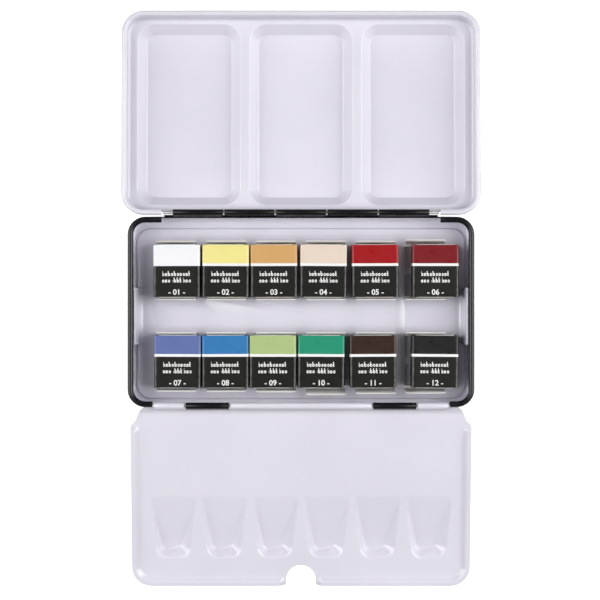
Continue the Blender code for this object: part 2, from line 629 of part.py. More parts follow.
def main():
    """Build the whole box, open."""
    clear_scene()
    group = new_collection("watercolor_pan_set")
    tools = new_collection("cutters")
    build_base(group, tools)
    lid_pin = LID_KNUCKLE - LID_KNUCKLE_SHEET - PIN_FIT
    flap_pin = FLAP_KNUCKLE - FLAP_KNUCKLE_SHEET - PIN_FIT
    build_pin("lid_hinge_pin", lid_axis, lid_pin, lid_zone + LID_PIN_PAST - KNUCKLE_GAP, group)
    build_pin("flap_hinge_pin", flap_axis, flap_pin, flap_zone + FLAP_PIN_PAST - KNUCKLE_GAP * 2, group)
    build_lid(group, tools, hinge_empty("lid_hinge", lid_axis, group, (-lid_lie, 0, 0)))
    build_flap(group, tools, hinge_empty("flap_hinge", flap_axis, group, (-flap_lie, 0, math.pi)))
    tray_lift = hinge_empty("tray_lift", (0, 0, 0), group)
    build_tray(group, tools, tray_lift)
    build_pans(group, tray_lift)
    bpy.context.view_layer.update()


main()
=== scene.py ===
"""Looks of a folding enamelled watercolour box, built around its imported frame.

Every piece is modelled with operators in its own workshop frame, brought to its place
in the box, dressed in a procedural finish and hung on the body that carries it.
"""

from __future__ import annotations

import json
import logging
import math
from dataclasses import dataclass, field
from enum import Enum
from functools import reduce
from itertools import product
from typing import Any, Callable, Sequence

import bmesh
import bpy
import numpy as np
from mathutils import Matrix, Vector

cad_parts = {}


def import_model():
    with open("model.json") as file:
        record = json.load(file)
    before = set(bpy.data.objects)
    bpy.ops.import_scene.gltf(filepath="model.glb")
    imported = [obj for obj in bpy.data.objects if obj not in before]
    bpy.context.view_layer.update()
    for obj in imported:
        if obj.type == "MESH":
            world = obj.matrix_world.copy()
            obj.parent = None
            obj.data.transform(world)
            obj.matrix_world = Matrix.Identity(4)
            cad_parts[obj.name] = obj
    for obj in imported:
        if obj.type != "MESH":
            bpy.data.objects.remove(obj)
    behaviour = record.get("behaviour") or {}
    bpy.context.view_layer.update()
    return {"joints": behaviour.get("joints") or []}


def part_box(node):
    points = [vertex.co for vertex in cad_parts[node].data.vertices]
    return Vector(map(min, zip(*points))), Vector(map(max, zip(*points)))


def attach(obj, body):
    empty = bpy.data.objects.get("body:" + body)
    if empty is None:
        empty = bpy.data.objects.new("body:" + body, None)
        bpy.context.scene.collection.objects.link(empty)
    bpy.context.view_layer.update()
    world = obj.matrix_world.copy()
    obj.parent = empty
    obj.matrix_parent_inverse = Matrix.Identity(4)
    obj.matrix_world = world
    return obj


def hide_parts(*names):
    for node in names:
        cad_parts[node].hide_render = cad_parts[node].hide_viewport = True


LOG = logging.getLogger("paint_box")
MM = 0.001
RING_STACK = 20 * MM            # spacing of a loft's rings while they are bridged
SEAM = 0.001 * MM               # vertices closer than this are one
BLOCK_EDGE = 0.01 * MM          # radius of a cutter's upright edges
SMOOTH_ANGLE = 40.0             # degrees up to which faces are shaded smooth
SHEET = 0.5 * MM                # steel of the base, lid, flap and tray
RIM = 14.1 * MM                 # height of the base's rim
BACK_ZONE = 49.0 * MM           # half the width of the lid hinge's cut-out
BACK_ROLL = 1.07 * MM           # outer radius of the lid hinge's knuckles
BACK_SHEET = 0.44 * MM          # their thickness
FRONT_ROLL = 1.2 * MM           # outer radius of the flap hinge's knuckles
KNUCKLE_GAP = 0.5 * MM
WALL_ROLL = 305.0               # degrees that a knuckle rolls from a wall
PLATE_ROLL = 318.0              # and from the flap's plate
ROLL_STEPS = 24
SHELL_CORNER = 12               # segments in a shell's corner
SHELL_EDGE = 0.12 * MM          # width by which a shell's cut edges are rounded
SHELL_SHARP = 55.0              # degrees past which they are
SHELL_SMOOTH = 35.0             # degrees up to which a shell is shaded smooth
THIN_SHARP = 50.0               # degrees past which a strip's or a pin's edges are rounded
THIN_EDGE = 0.22                # by this share of its thickness or radius

Point2 = tuple[float, float]
Point3 = tuple[float, float, float]
Piece = bpy.types.Object
Material = bpy.types.Material


# ---------------------------------------------------------------- shader expressions

def _operator(operation: str, swapped: bool = False) -> Callable[..., Wire]:
    """Return a method that adds a Math node; swapped, the wire comes after the other value."""
    def method(self: Wire, *others: Any) -> Wire:
        """Return the node's result on this and other values."""
        values = [*others, self] if swapped else [self, *others]
        return self.graph.node("Math", {"operation": operation}, values)
    return method


class Wire:
    """A value or colour socket that takes part in Python expressions."""

    def __init__(self, graph: Graph, socket: bpy.types.NodeSocket) -> None:
        """Wrap one output socket of a graph's node."""
        self.graph = graph
        self.socket = socket

    __add__ = _operator("ADD")
    __sub__, __rsub__ = _operator("SUBTRACT"), _operator("SUBTRACT", swapped=True)
    __mul__, __truediv__ = _operator("MULTIPLY"), _operator("DIVIDE")
    __gt__, __lt__ = _operator("GREATER_THAN"), _operator("LESS_THAN")
    __mod__, __abs__ = _operator("FLOORED_MODULO"), _operator("ABSOLUTE")
    floor, root, either = _operator("FLOOR"), _operator("SQRT"), _operator("MAXIMUM")

    def within(self, low: float, high: float) -> Wire:
        """Return 1 between two values."""
        return (self > low) * (self < high)

    def ramp(self, low: float, high: float) -> Wire:
        """Return a smooth step from 0 at low to 1 at high."""
        settings = {"interpolation_type": "SMOOTHSTEP"}
        return self.graph.node("MapRange", settings, [self, low, high, 0.0, 1.0])


class Graph:
    """The node tree of a material or a world, written as expressions."""

    def __init__(self, owner: Material | bpy.types.World) -> None:
        """Start on the default tree of a new material or world."""
        self.owner = owner
        owner.use_nodes = True
        self.nodes = owner.node_tree.nodes
        self.links = owner.node_tree.links

    def plug(self, socket: bpy.types.NodeSocket, value: Any) -> None:
        """Link a wire to an input, or set the input's own value.

        Args:
            socket: the input.
            value: a wire, a number, or a colour of three or four numbers.
        """
        if isinstance(value, Wire):
            self.links.new(value.socket, socket)
            return
        if socket.type == "RGBA" and len(value) == 3:
            value = (*value, 1.0)
        socket.default_value = value

    def node(self, kind: str, settings: dict[str, Any], values: Any = (),
             output: int | str = 0) -> Wire:
        """Add a node.

        Args:
            kind: the node's type without its ShaderNode prefix.
            settings: properties that are set first.
            values: the inputs in order, or by name.
            output: which output to return.

        Returns:
            The wire from that output.
        """
        made = self.nodes.new(f"ShaderNode{kind}")
        for key, value in settings.items():
            setattr(made, key, value)
        pairs = values.items() if isinstance(values, dict) else enumerate(values)
        for key, value in pairs:
            self.plug(made.inputs[key], value)
        return Wire(self, made.outputs[output])

    def place(self, origin: Point3 = (0, 0, 0), turn: float = 0.0) -> Wire:
        """Return Object coordinates measured from an origin, turned about Z."""
        coordinates = self.node("TexCoord", {}, output="Object")
        moved = self.node("VectorMath", {"operation": "SUBTRACT"}, [coordinates, origin])
        if not turn:
            return moved
        return self.node("VectorRotate", {"rotation_type": "Z_AXIS"},
                         {"Vector": moved, "Angle": -turn})

    def axes(self, vector: Wire) -> tuple[Wire, Wire, Wire]:
        """Return a vector's three parts."""
        split = self.nodes.new("ShaderNodeSeparateXYZ")
        self.links.new(vector.socket, split.inputs[0])
        return tuple(Wire(self, output) for output in split.outputs)

    def noise(self, vector: Wire, scale: float, detail: float = 3.0, roughness: float = 0.5) -> Wire:
        """Return fractal noise from 0 to 1 at a scale in waves a metre."""
        return self.node("TexNoise", {}, {"Vector": vector, "Scale": scale, "Detail": detail,
                                          "Roughness": roughness})

    def blend(self, factor: Any, low: Any, high: Any) -> Wire:
        """Return a colour mixed between two."""
        mixed = self.nodes.new("ShaderNodeMix")
        mixed.data_type = "RGBA"
        self.plug(mixed.inputs["Factor"], factor)
        self.plug(mixed.inputs[6], low)
        self.plug(mixed.inputs[7], high)
        return Wire(self, mixed.outputs[2])

    def bump(self, height: Wire, depth: float) -> Wire:
        """Return a normal bent by a height in shares of a depth in metres."""
        return self.node("Bump", {}, {"Height": height, "Distance": depth, "Strength": 1.0})

    def finish(self, **inputs: Any) -> Material:
        """Set the Principled shader's inputs, underscores for spaces, and return the material."""
        shader = self.nodes["Principled BSDF"]
        for key, value in inputs.items():
            self.plug(shader.inputs[key.replace("_", " ")], value)
        return self.owner


# ---------------------------------------------------------------- finishes

@dataclass(frozen=True)
class Enamel:
    """Stoved enamel on steel, with orange peel, faint clouds and dust."""

    name: str
    colour: Point3
    shade: Point3
    roughness: float
    peel: float = 0.010 * MM
    speck: Point3 = (0.35, 0.33, 0.33)
    speck_share: float = 0.72

    def make(self) -> Material:
        """Return the enamel's material."""
        graph = Graph(bpy.data.materials.new(self.name))
        place = graph.place()
        clouds = graph.noise(place, 38.0, 4.0)
        peel = graph.noise(place, 520.0, 2.0)
        flow = graph.noise(place, 95.0, 2.0)
        specks = graph.noise(place, 3800.0, 0.0).ramp(self.speck_share, self.speck_share + 0.06)
        smears = graph.noise(place, 160.0, 5.0, 0.65)
        body = graph.blend(clouds.ramp(0.35, 0.7), self.colour, self.shade)
        colour = graph.blend(specks * 0.18, body, self.speck)
        height = peel * 0.55 + flow * 1.6
        return graph.finish(Base_Color=colour, Roughness=smears * 0.10 + (self.roughness - 0.05),
                            Normal=graph.bump(height, self.peel), Specular_IOR_Level=0.5,
                            Coat_Weight=0.35, Coat_Roughness=0.08)


@dataclass(frozen=True)
class WornEnamel:
    """Black enamel on a rolled edge, rubbed thin in small patches."""

    name: str
    colour: Point3 = (0.0085, 0.008, 0.010)
    worn: Point3 = (0.040, 0.038, 0.037)
    roughness: float = 0.24

    def make(self) -> Material:
        """Return the worn enamel's material."""
        graph = Graph(bpy.data.materials.new(self.name))
        place = graph.place()
        rubbed = graph.noise(place, 240.0, 5.0, 0.6).ramp(0.48, 0.92)
        scratches = graph.noise(place, 900.0, 3.0).ramp(0.66, 0.78)
        colour = graph.blend(rubbed * 0.5 + scratches * 0.25, self.colour, self.worn)
        peel = graph.noise(place, 480.0, 2.0) + graph.noise(place, 110.0, 2.0) * 1.5
        return graph.finish(Base_Color=colour, Roughness=rubbed * 0.22 + self.roughness,
                            Normal=graph.bump(peel, 0.012 * MM), Specular_IOR_Level=0.32,
                            Coat_Weight=0.12, Coat_Roughness=0.1)


@dataclass(frozen=True)
class DrawnSteel:
    """Bright steel, drawn or sheared, with marks along one axis."""

    name: str
    colour: Point3 = (0.56, 0.555, 0.55)
    stretch: Point3 = (40.0, 1400.0, 1400.0)
    roughness: float = 0.28

    def make(self) -> Material:
        """Return the steel's material."""
        graph = Graph(bpy.data.materials.new(self.name))
        place = graph.place()
        lines = graph.node("Mapping", {"vector_type": "TEXTURE"},
                           {"Vector": place, "Scale": tuple(1.0 / part for part in self.stretch)})
        grain = graph.noise(lines, 1.0, 3.0)
        stains = graph.noise(place, 180.0, 4.0).ramp(0.5, 0.8)
        colour = graph.blend(stains * 0.5, self.colour, tuple(part * 0.62 for part in self.colour))
        return graph.finish(Base_Color=colour, Metallic=1.0, Roughness=grain * 0.16 + self.roughness,
                            Normal=graph.bump(grain, 0.006 * MM))


@dataclass(frozen=True)
class PanPlastic:
    """Moulded half-pan plastic, tinged by the paint that it holds."""

    name: str
    tinge: Point3

    def make(self) -> Material:
        """Return the plastic's material."""
        graph = Graph(bpy.data.materials.new(self.name))
        place = graph.place()
        mottle = graph.noise(place, 320.0, 3.0)
        white = (0.80, 0.80, 0.77)
        tinged = tuple(0.72 * w + 0.28 * t for w, t in zip(white, self.tinge))
        colour = graph.blend(mottle.ramp(0.3, 0.7), white, tinged)
        return graph.finish(Base_Color=colour, Roughness=mottle * 0.1 + 0.32,
                            Normal=graph.bump(graph.noise(place, 900.0), 0.01 * MM))


@dataclass(frozen=True)
class DriedPaint:
    """A cake of dried watercolour: matt, crazed, paler where it has dusted."""

    name: str
    colour: Point3

    def make(self) -> Material:
        """Return the paint's material."""
        graph = Graph(bpy.data.materials.new(self.name))
        place = graph.place()
        grain = graph.noise(place, 1400.0, 5.0, 0.7)
        cells = graph.node("TexVoronoi", {"feature": "DISTANCE_TO_EDGE"},
                           {"Vector": place, "Scale": 260.0}, "Distance")
        crazing = 1.0 - cells.ramp(0.0, 0.05)
        pale = tuple(min(1.0, part * 0.75 + 0.12) for part in self.colour)
        colour = graph.blend(graph.noise(place, 200.0).ramp(0.45, 0.8), self.colour, pale)
        return graph.finish(Base_Color=colour, Roughness=grain * 0.2 + 0.55,
                            Normal=graph.bump(grain - crazing * 0.8, 0.08 * MM))


@dataclass(frozen=True)
class WrapperPrint:
    """Glossy wrapper paper: a colour band, a white stripe, black with dashed lines, and painted highlights
    along its long folds.
    """

    name: str
    band: Point3
    origin: Point3
    turn: float
    length: float
    stripe: bool = True
    ink: Point3 = (0.0115, 0.0115, 0.0100)
    paper: Point3 = (0.89, 0.89, 0.88)
    band_share: float = 0.355
    stripe_width: float = 0.95 * MM

    def _strokes(self, graph: Graph, across: Wire, along: Wire, words: Sequence[Point2],
                 middle: float, seed: float) -> Wire:
        """Return a line of plain rings and stems that stands for small print, as a mask.

        Args:
            graph: the material's graph.
            across: place across the wrapper.
            along: place along the wrapper.
            words: each word's two ends.
            middle: where the line lies along the wrapper.
            seed: what sets the marks apart from the other line's.

        Returns:
            The mask.
        """
        pitch = 1.04 * MM
        cell = (across + 50 * MM) / pitch
        column = cell.floor() * 0.37 + seed
        beside = (cell % 1.0 - 0.5) * pitch
        above = along - middle
        kind = graph.node("TexWhiteNoise", {"noise_dimensions": "1D"}, {"W": column}, "Value")
        wide, tall = beside / (0.31 * MM), above / (0.42 * MM)
        ring = (wide * wide + tall * tall).root().within(0.46, 1.26)
        half_stem = (kind > 0.55) * (0.38 * MM) + 0.46 * MM
        upright = abs(above - (half_stem - 0.46 * MM)) < half_stem
        stem = (abs(beside + 0.29 * MM) < 0.16 * MM) * upright
        stroke = ring.either(stem * (kind > 0.3))
        inside = reduce(Wire.either, [across.within(low, high) for low, high in words])
        return stroke * inside

    def make(self) -> Material:
        """Return the wrapper's material."""
        graph = Graph(bpy.data.materials.new(self.name))
        place = graph.place(self.origin, self.turn)
        across, along, up = graph.axes(place)
        half = self.length / 2
        stripe_at = half - self.length * self.band_share
        wobble = (graph.noise(place, 90.0) - 0.5) * (0.12 * MM)
        edge = along + wobble
        in_band = (edge > stripe_at).ramp(0.0, 1.0)
        in_stripe = edge.within(stripe_at - self.stripe_width, stripe_at)
        top = up > 9.6 * MM
        words = ((-5.3 * MM, -2.1 * MM), (-1.4 * MM, 1.6 * MM), (2.3 * MM, 5.0 * MM))
        first = self._strokes(graph, across, along, ((-5.0 * MM, 4.6 * MM),), -1.3 * MM, 3.1)
        marks = first.either(self._strokes(graph, across, along, words, -3.6 * MM, 8.7)) * top
        rub_and_highlight_noise = graph.noise(place, 420.0, 5.0, 0.7)
        aside = abs(across) / MM
        fold = aside.ramp(7.25, 7.5) * (1.0 - aside.ramp(7.65, 7.95))
        # painted highlight: a thin lighter line along each long fold of the paper, made stronger or weaker by
        # noise
        fold_highlight = (rub_and_highlight_noise.ramp(0.36, 0.66) * 0.45 + 0.08) * fold
        ink = graph.blend(fold_highlight, self.ink, (0.22, 0.215, 0.20))
        rubbed = tuple(min(1.0, part * 1.1 + 0.02) for part in self.band)
        band = graph.blend(rub_and_highlight_noise.ramp(0.3, 0.75) * 0.22, self.band, rubbed)
        colour = graph.blend(in_band, ink, band)
        colour = graph.blend(in_stripe, colour, self.paper if self.stripe else self.band)
        colour = graph.blend(marks, colour, self.paper)
        crumple = graph.noise(place, 260.0, 3.0) + fold * rub_and_highlight_noise * 0.7
        return graph.finish(Base_Color=colour, Roughness=rub_and_highlight_noise * 0.16 + 0.22,
                            Normal=graph.bump(crumple, 0.05 * MM), Specular_IOR_Level=0.4,
                            Coat_Weight=0.12, Coat_Roughness=0.12)


@dataclass(frozen=True)
class PrintedWhite:
    """White ink of a printed number."""

    name: str = "white_ink"

    def make(self) -> Material:
        """Return the ink's material."""
        graph = Graph(bpy.data.materials.new(self.name))
        grain = graph.noise(graph.place(), 1800.0, 2.0)
        colour = graph.blend(grain.ramp(0.35, 0.7), (0.80, 0.80, 0.79), (0.90, 0.90, 0.90))
        return graph.finish(Base_Color=colour, Roughness=grain * 0.1 + 0.35)


# ---------------------------------------------------------------- bench work

@dataclass(frozen=True)
class Ring:
    """One station of a lofted shell: a rounded rectangle at a height."""

    half_x: float
    half_y: float
    radius: float
    height: float
    centre: Point2 = (0.0, 0.0)
    finish: int = 0


class Turn(Enum):
    """Which way a sheet edge rolls from its root."""

    ANTICLOCKWISE = 1
    CLOCKWISE = -1


class Bench:
    """Modelling operations, most of them leaving their piece in object mode."""

    @staticmethod
    def clear() -> None:
        """Leave edit mode and deselect everything."""
        if bpy.context.mode != "OBJECT":
            bpy.ops.object.mode_set(mode="OBJECT")
        bpy.ops.object.select_all(action="DESELECT")

    @staticmethod
    def take(piece: Piece) -> None:
        """Make a piece the only selected and the active one."""
        Bench.clear()
        piece.select_set(True)
        bpy.context.view_layer.objects.active = piece

    @staticmethod
    def edit(piece: Piece, kind: str = "VERT", select: str = "DESELECT") -> bmesh.types.BMesh:
        """Open a piece in edit mode, to select vertices, edges or faces, and return its edit mesh."""
        Bench.take(piece)
        bpy.ops.object.mode_set(mode="EDIT")
        bpy.ops.mesh.select_mode(type="VERT")
        bpy.ops.mesh.select_all(action=select)
        bpy.ops.mesh.select_mode(type=kind)
        return bmesh.from_edit_mesh(piece.data)

    @staticmethod
    def pick(piece: Piece, test: Callable[[bmesh.types.BMVert], bool]) -> None:
        """Select the vertices that pass a test, with what lies between them."""
        mesh = bmesh.from_edit_mesh(piece.data)
        for part in (*mesh.faces, *mesh.edges):
            part.select = False
        for vert in mesh.verts:
            vert.select = bool(test(vert))
        mesh.select_flush(True)
        bmesh.update_edit_mesh(piece.data)

    @staticmethod
    def weld() -> None:
        """Select the whole edit mesh and merge its doubled vertices."""
        bpy.ops.mesh.select_all(action="SELECT")
        bpy.ops.mesh.remove_doubles(threshold=SEAM)

    @staticmethod
    def face_out() -> None:
        """Turn every face outwards and return to object mode."""
        bpy.ops.mesh.select_all(action="SELECT")
        bpy.ops.mesh.normals_make_consistent(inside=False)
        bpy.ops.object.mode_set(mode="OBJECT")

    @staticmethod
    def _add_ring(ring: Ring, segments: int, number: int) -> None:
        """Add one numbered ring, stacked clear of the others: a plane, sized, its corners rounded."""
        place = (*ring.centre, number * RING_STACK)
        bpy.ops.mesh.primitive_plane_add(size=1.0, location=place)
        if bpy.context.mode == "OBJECT":
            bpy.ops.object.mode_set(mode="EDIT")
        bpy.ops.transform.resize(value=(2 * ring.half_x, 2 * ring.half_y, 1.0), center_override=place)
        bpy.ops.mesh.bevel(offset=ring.radius, segments=segments, affect="VERTICES")
        mesh = bmesh.from_edit_mesh(bpy.context.object.data)
        layer = mesh.verts.layers.int.get("ring") or mesh.verts.layers.int.new("ring")
        for vert in mesh.verts:
            if vert.select:
                vert[layer] = number
        bpy.ops.mesh.delete(type="ONLY_FACE")

    @staticmethod
    def cover(piece: Piece, numbers: Sequence[int], finish: int, operator: Callable[[], Any]) -> None:
        """Make faces on whole rings of the piece in edit mode.

        Args:
            piece: the piece.
            numbers: the rings' numbers.
            finish: the finish's number that the new faces get.
            operator: what makes them from the selected rings.
        """
        layer = bmesh.from_edit_mesh(piece.data).verts.layers.int["ring"]
        Bench.pick(piece, lambda vert: vert[layer] in numbers)
        operator()
        for face in bmesh.from_edit_mesh(piece.data).faces:
            if face.select:
                face.material_index = finish

    @staticmethod
    def loft(name: str, rings: Sequence[Ring], segments: int, caps: tuple[bool, bool] = (True, True),
             closed: bool = False, onto: Piece | None = None, first: int = 1) -> Piece:
        """Bridge a row of rings into a shell.

        Args:
            name: the piece's name.
            rings: the stations in order; each one's finish is that of the wall up to it.
            segments: segments in a rounded corner.
            caps: whether the first and the last ring are filled.
            closed: whether the last ring is bridged back to the first.
            onto: a piece to add the shell to, in place of a new one.
            first: the first ring's number, where rings are added to a piece.

        Returns:
            The piece.
        """
        if onto is None:
            Bench.clear()
        else:
            Bench.edit(onto)
        Bench._add_ring(rings[0], segments, first)
        piece = bpy.context.object
        piece.name = piece.data.name = name
        for index, ring in enumerate(rings[1:], start=first + 1):
            Bench._add_ring(ring, segments, index)
            Bench.cover(piece, (index - 1, index), ring.finish, bpy.ops.mesh.bridge_edge_loops)
        last = first + len(rings) - 1
        if closed:
            Bench.cover(piece, (first, last), rings[0].finish, bpy.ops.mesh.bridge_edge_loops)
        lift = piece.matrix_world.translation.z
        mesh = bmesh.from_edit_mesh(piece.data)
        layer = mesh.verts.layers.int["ring"]
        for vert in mesh.verts:
            if first <= vert[layer] <= last:
                vert.co.z = rings[vert[layer] - first].height - lift
        bmesh.update_edit_mesh(piece.data)
        for wanted, number, ring in ((caps[0], first, rings[0]), (caps[1], last, rings[-1])):
            if wanted and not closed:
                Bench.cover(piece, (number,), ring.finish, bpy.ops.mesh.edge_face_add)
        Bench.face_out()
        Bench.settle(piece)
        return piece

    @staticmethod
    def modify(piece: Piece, kind: str, **settings: Any) -> None:
        """Add a modifier with its settings and apply it."""
        Bench.take(piece)
        modifier = piece.modifiers.new(kind.lower(), kind)
        for key, value in settings.items():
            setattr(modifier, key, value)
        bpy.ops.object.modifier_apply(modifier=modifier.name)

    @staticmethod
    def cut(piece: Piece, tool: Piece) -> None:
        """Cut a tool's shape out of a piece, and put the tool away."""
        Bench.modify(piece, "BOOLEAN", object=tool, operation="DIFFERENCE", solver="EXACT")
        bpy.data.objects.remove(tool, do_unlink=True)

    @staticmethod
    def soften(piece: Piece, width: float, angle: float, segments: int = 2) -> None:
        """Round the edges that are sharper than an angle in degrees."""
        Bench.modify(piece, "BEVEL", width=width, segments=segments, limit_method="ANGLE",
                     angle_limit=math.radians(angle), harden_normals=False)

    @staticmethod
    def block(name: str, low: Point3, high: Point3) -> Piece:
        """Return a box between two corners."""
        centre = tuple((a + b) / 2 for a, b in zip(low, high))
        half_x, half_y = (high[0] - low[0]) / 2, (high[1] - low[1]) / 2
        rings = [Ring(half_x, half_y, BLOCK_EDGE, height, centre[:2]) for height in (low[2], high[2])]
        return Bench.loft(name, rings, 3)

    @staticmethod
    def plane(name: str, size: Point2, centre: Point3) -> Piece:
        """Return a level plane of a size, left in edit mode with all of it selected."""
        Bench.clear()
        bpy.ops.mesh.primitive_plane_add(size=1.0, location=centre)
        piece = bpy.context.object
        piece.name = name
        bpy.ops.object.mode_set(mode="EDIT")
        bpy.ops.transform.resize(value=(*size, 1.0), center_override=centre)
        return piece

    @staticmethod
    def draw(y: float, z: float) -> None:
        """Draw the selected edges out in the YZ plane."""
        bpy.ops.mesh.extrude_edges_move(TRANSFORM_OT_translate={"value": (0.0, y, z)})

    @staticmethod
    def strip(name: str, root: Point2, runs: Sequence[Point2], roll: tuple[Point2, Turn, float] | None,
              span: Point2, sheet: float) -> Piece:
        """Return a strip of sheet, bent along a path in the YZ plane and rolled at its end.

        Args:
            name: the piece's name.
            root: where the strip starts.
            runs: further points that it is drawn to.
            roll: the roll's centre, its turn and its angle in degrees.
            span: the strip's two ends along X.
            sheet: its thickness.

        Returns:
            The strip.
        """
        piece = Bench.plane(name, (span[1] - span[0], 0.0), ((span[0] + span[1]) / 2, *root))
        bpy.ops.mesh.remove_doubles(threshold=SEAM)
        bpy.ops.mesh.select_all(action="SELECT")
        for start, end in zip((root, *runs), runs):
            Bench.draw(end[0] - start[0], end[1] - start[1])
        if roll is not None:
            centre, turn, angle = roll
            bpy.ops.mesh.spin(steps=ROLL_STEPS, angle=math.radians(angle) * turn.value,
                              center=(0.0, *centre), axis=(-1.0, 0.0, 0.0))
        Bench.weld()
        Bench.face_out()
        Bench.settle(piece)
        Bench.modify(piece, "SOLIDIFY", thickness=sheet, offset=0.0, use_even_offset=True)
        Bench.soften(piece, sheet * THIN_EDGE, THIN_SHARP)
        return piece

    @staticmethod
    def settle(piece: Piece, matrix: Matrix | None = None) -> None:
        """Move a piece by a matrix and leave its place in its mesh."""
        bpy.context.view_layer.update()
        piece.data.transform((matrix or Matrix.Identity(4)) @ piece.matrix_world)
        piece.matrix_world = Matrix.Identity(4)

    @staticmethod
    def copy(piece: Piece, name: str) -> Piece:
        """Return a copy with its own mesh."""
        twin = piece.copy()
        twin.data = piece.data.copy()
        twin.name = twin.data.name = name
        bpy.context.scene.collection.objects.link(twin)
        return twin

    @staticmethod
    def join(pieces: Sequence[Piece]) -> Piece:
        """Return several pieces as one."""
        Bench.take(pieces[0])
        for piece in pieces:
            piece.select_set(True)
        bpy.ops.object.join()
        return pieces[0]

    @staticmethod
    def coat(piece: Piece, finishes: Sequence[Material]) -> None:
        """Give a piece its materials, in the order of its faces' numbers."""
        for finish in finishes:
            piece.data.materials.append(finish)

    @staticmethod
    def dress(piece: Piece, finishes: Sequence[Material], body: str, slot: str, nodes: Sequence[str] = (),
              smooth: float = SMOOTH_ANGLE, matrix: Matrix | None = None) -> None:
        """Bring a piece to its place, shade it, finish it and hang it on its body.

        Args:
            piece: the finished mesh.
            finishes: the materials, in the order of its faces' numbers, if it isn't coated yet.
            body: the body that carries it.
            slot: the record's material slot; not used.
            nodes: the frame's nodes that it stands for.
            smooth: the angle in degrees up to which it is shaded smooth.
            matrix: the way from its workshop frame to the box's.
        """
        if matrix is not None:
            Bench.settle(piece, matrix)
        Bench.take(piece)
        bpy.ops.object.shade_smooth_by_angle(angle=math.radians(smooth))
        if not piece.data.materials:
            Bench.coat(piece, finishes)
        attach(piece, body)
        if nodes:
            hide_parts(*nodes)
        LOG.info("%s rides on %s with %d faces", piece.name, body, len(piece.data.polygons))


def arc(centre: Point2, radius: float, start: float, end: float, steps: int, *finish: int) -> list[Any]:
    """Return the points of an arc between two angles in degrees, each with the finish's number if given."""
    angles = [math.radians(start + (end - start) * step / steps) for step in range(steps + 1)]
    return [(centre[0] + radius * math.cos(a), centre[1] + radius * math.sin(a), *finish) for a in angles]


def rings_along(section: Sequence[Sequence[float]], half: Point2, corner: float,
                centre: Point2 = (0.0, 0.0), least: float = 0.0) -> list[Ring]:
    """Return the rings of a section that runs round a rounded rectangle.

    Args:
        section: points as outset and height, with the finish's number where there are several.
        half: the rectangle's half sizes.
        corner: its corner radius.
        centre: its middle.
        least: the smallest corner radius of a ring.

    Returns:
        The rings in the section's order.
    """
    return [Ring(half[0] + out, half[1] + out, max(corner + out, least), height, centre, *finish)
            for out, height, *finish in section]


def node_box(node: str) -> tuple[Vector, Vector]:
    """Return the middle and the half sizes of a CAD node's box."""
    low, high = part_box(node)
    return (low + high) / 2, (high - low) / 2


def roll_path(centre: Point2, middle: float, root: Point2, turn: Turn) -> Point2:
    """Return the point where a straight sheet from a root touches its roll.

    Args:
        centre: the roll's centre.
        middle: the radius to the middle of the sheet.
        root: where the sheet starts.
        turn: which way it rolls.

    Returns:
        The point of contact.
    """
    across = Vector((centre[0] - root[0], centre[1] - root[1]))
    lean = turn.value * math.asin(middle / across.length)
    reach = math.sqrt(across.length_squared - middle * middle)
    heading = math.atan2(across.y, across.x) - lean
    return (root[0] + reach * math.cos(heading), root[1] + reach * math.sin(heading))


@dataclass(frozen=True)
class Hinge:
    """A leaf's joint in the frame: its axis and the leaf's workshop frame at rest."""

    axis: Vector
    lie: float
    faces_front: bool

    @classmethod
    def read(cls, joints: Sequence[dict[str, Any]], name: str, faces_front: bool) -> Hinge:
        """Return the hinge of that name, lying as far past flat as its range says."""
        joint = next(item for item in joints if item["name"] == name)
        lie = math.radians(joint["range_deg"][1] - 180.0)
        return cls(Vector(joint["pos_m"]), lie, faces_front)

    @property
    def matrix(self) -> Matrix:
        """The way from the leaf's frame, +Y away from the base and its inside up, to the box's."""
        about = Matrix.Rotation(math.pi, 4, "Z") if self.faces_front else Matrix.Identity(4)
        return Matrix.Translation(self.axis) @ about @ Matrix.Rotation(-self.lie, 4, "X")


def knuckle_spans(lengths: Sequence[float]) -> list[Point2]:
    """Return each knuckle's two ends along X, for a row centred on the box."""
    start = -(sum(lengths) + KNUCKLE_GAP * (len(lengths) - 1)) / 2
    spans = []
    for length in lengths:
        spans.append((start, start + length))
        start += length + KNUCKLE_GAP
    return spans


BACK_SPANS = knuckle_spans([17.6 * MM] * 5)     # the base's and the lid's in turn
FRONT_SPANS = knuckle_spans([length * MM for length in (10.7, 15.2, 49.6, 15.2, 10.7)])  # flap's, base's


def roll_knuckles(spans: Sequence[Point2], root: Point2, centre: Point2, radius: float, sheet: float,
                  turn: Turn) -> list[Piece]:
    """Return the knuckles that are rolled from a leaf's wall.

    Args:
        spans: each knuckle's two ends along X.
        root: where the sheet leaves the wall.
        centre: the hinge's axis in the YZ plane.
        radius: the knuckles' outer radius.
        sheet: their thickness.
        turn: which way they roll.

    Returns:
        The knuckles.
    """
    touch = roll_path(centre, radius - sheet / 2, root, turn)
    return [Bench.strip("knuckle", root, (touch,), (centre, turn, WALL_ROLL), span, sheet) for span in spans]


def hang_knuckles(body: str, knuckles: Sequence[Piece], finish: Material, slot: str,
                  matrix: Matrix | None = None) -> None:
    """Name a body's knuckles and dress them."""
    for number, knuckle in enumerate(knuckles, start=1):
        knuckle.name = f"{body}_knuckle_{number}"
        Bench.dress(knuckle, (finish,), body, slot, matrix=matrix)


# ---------------------------------------------------------------- sub-assemblies

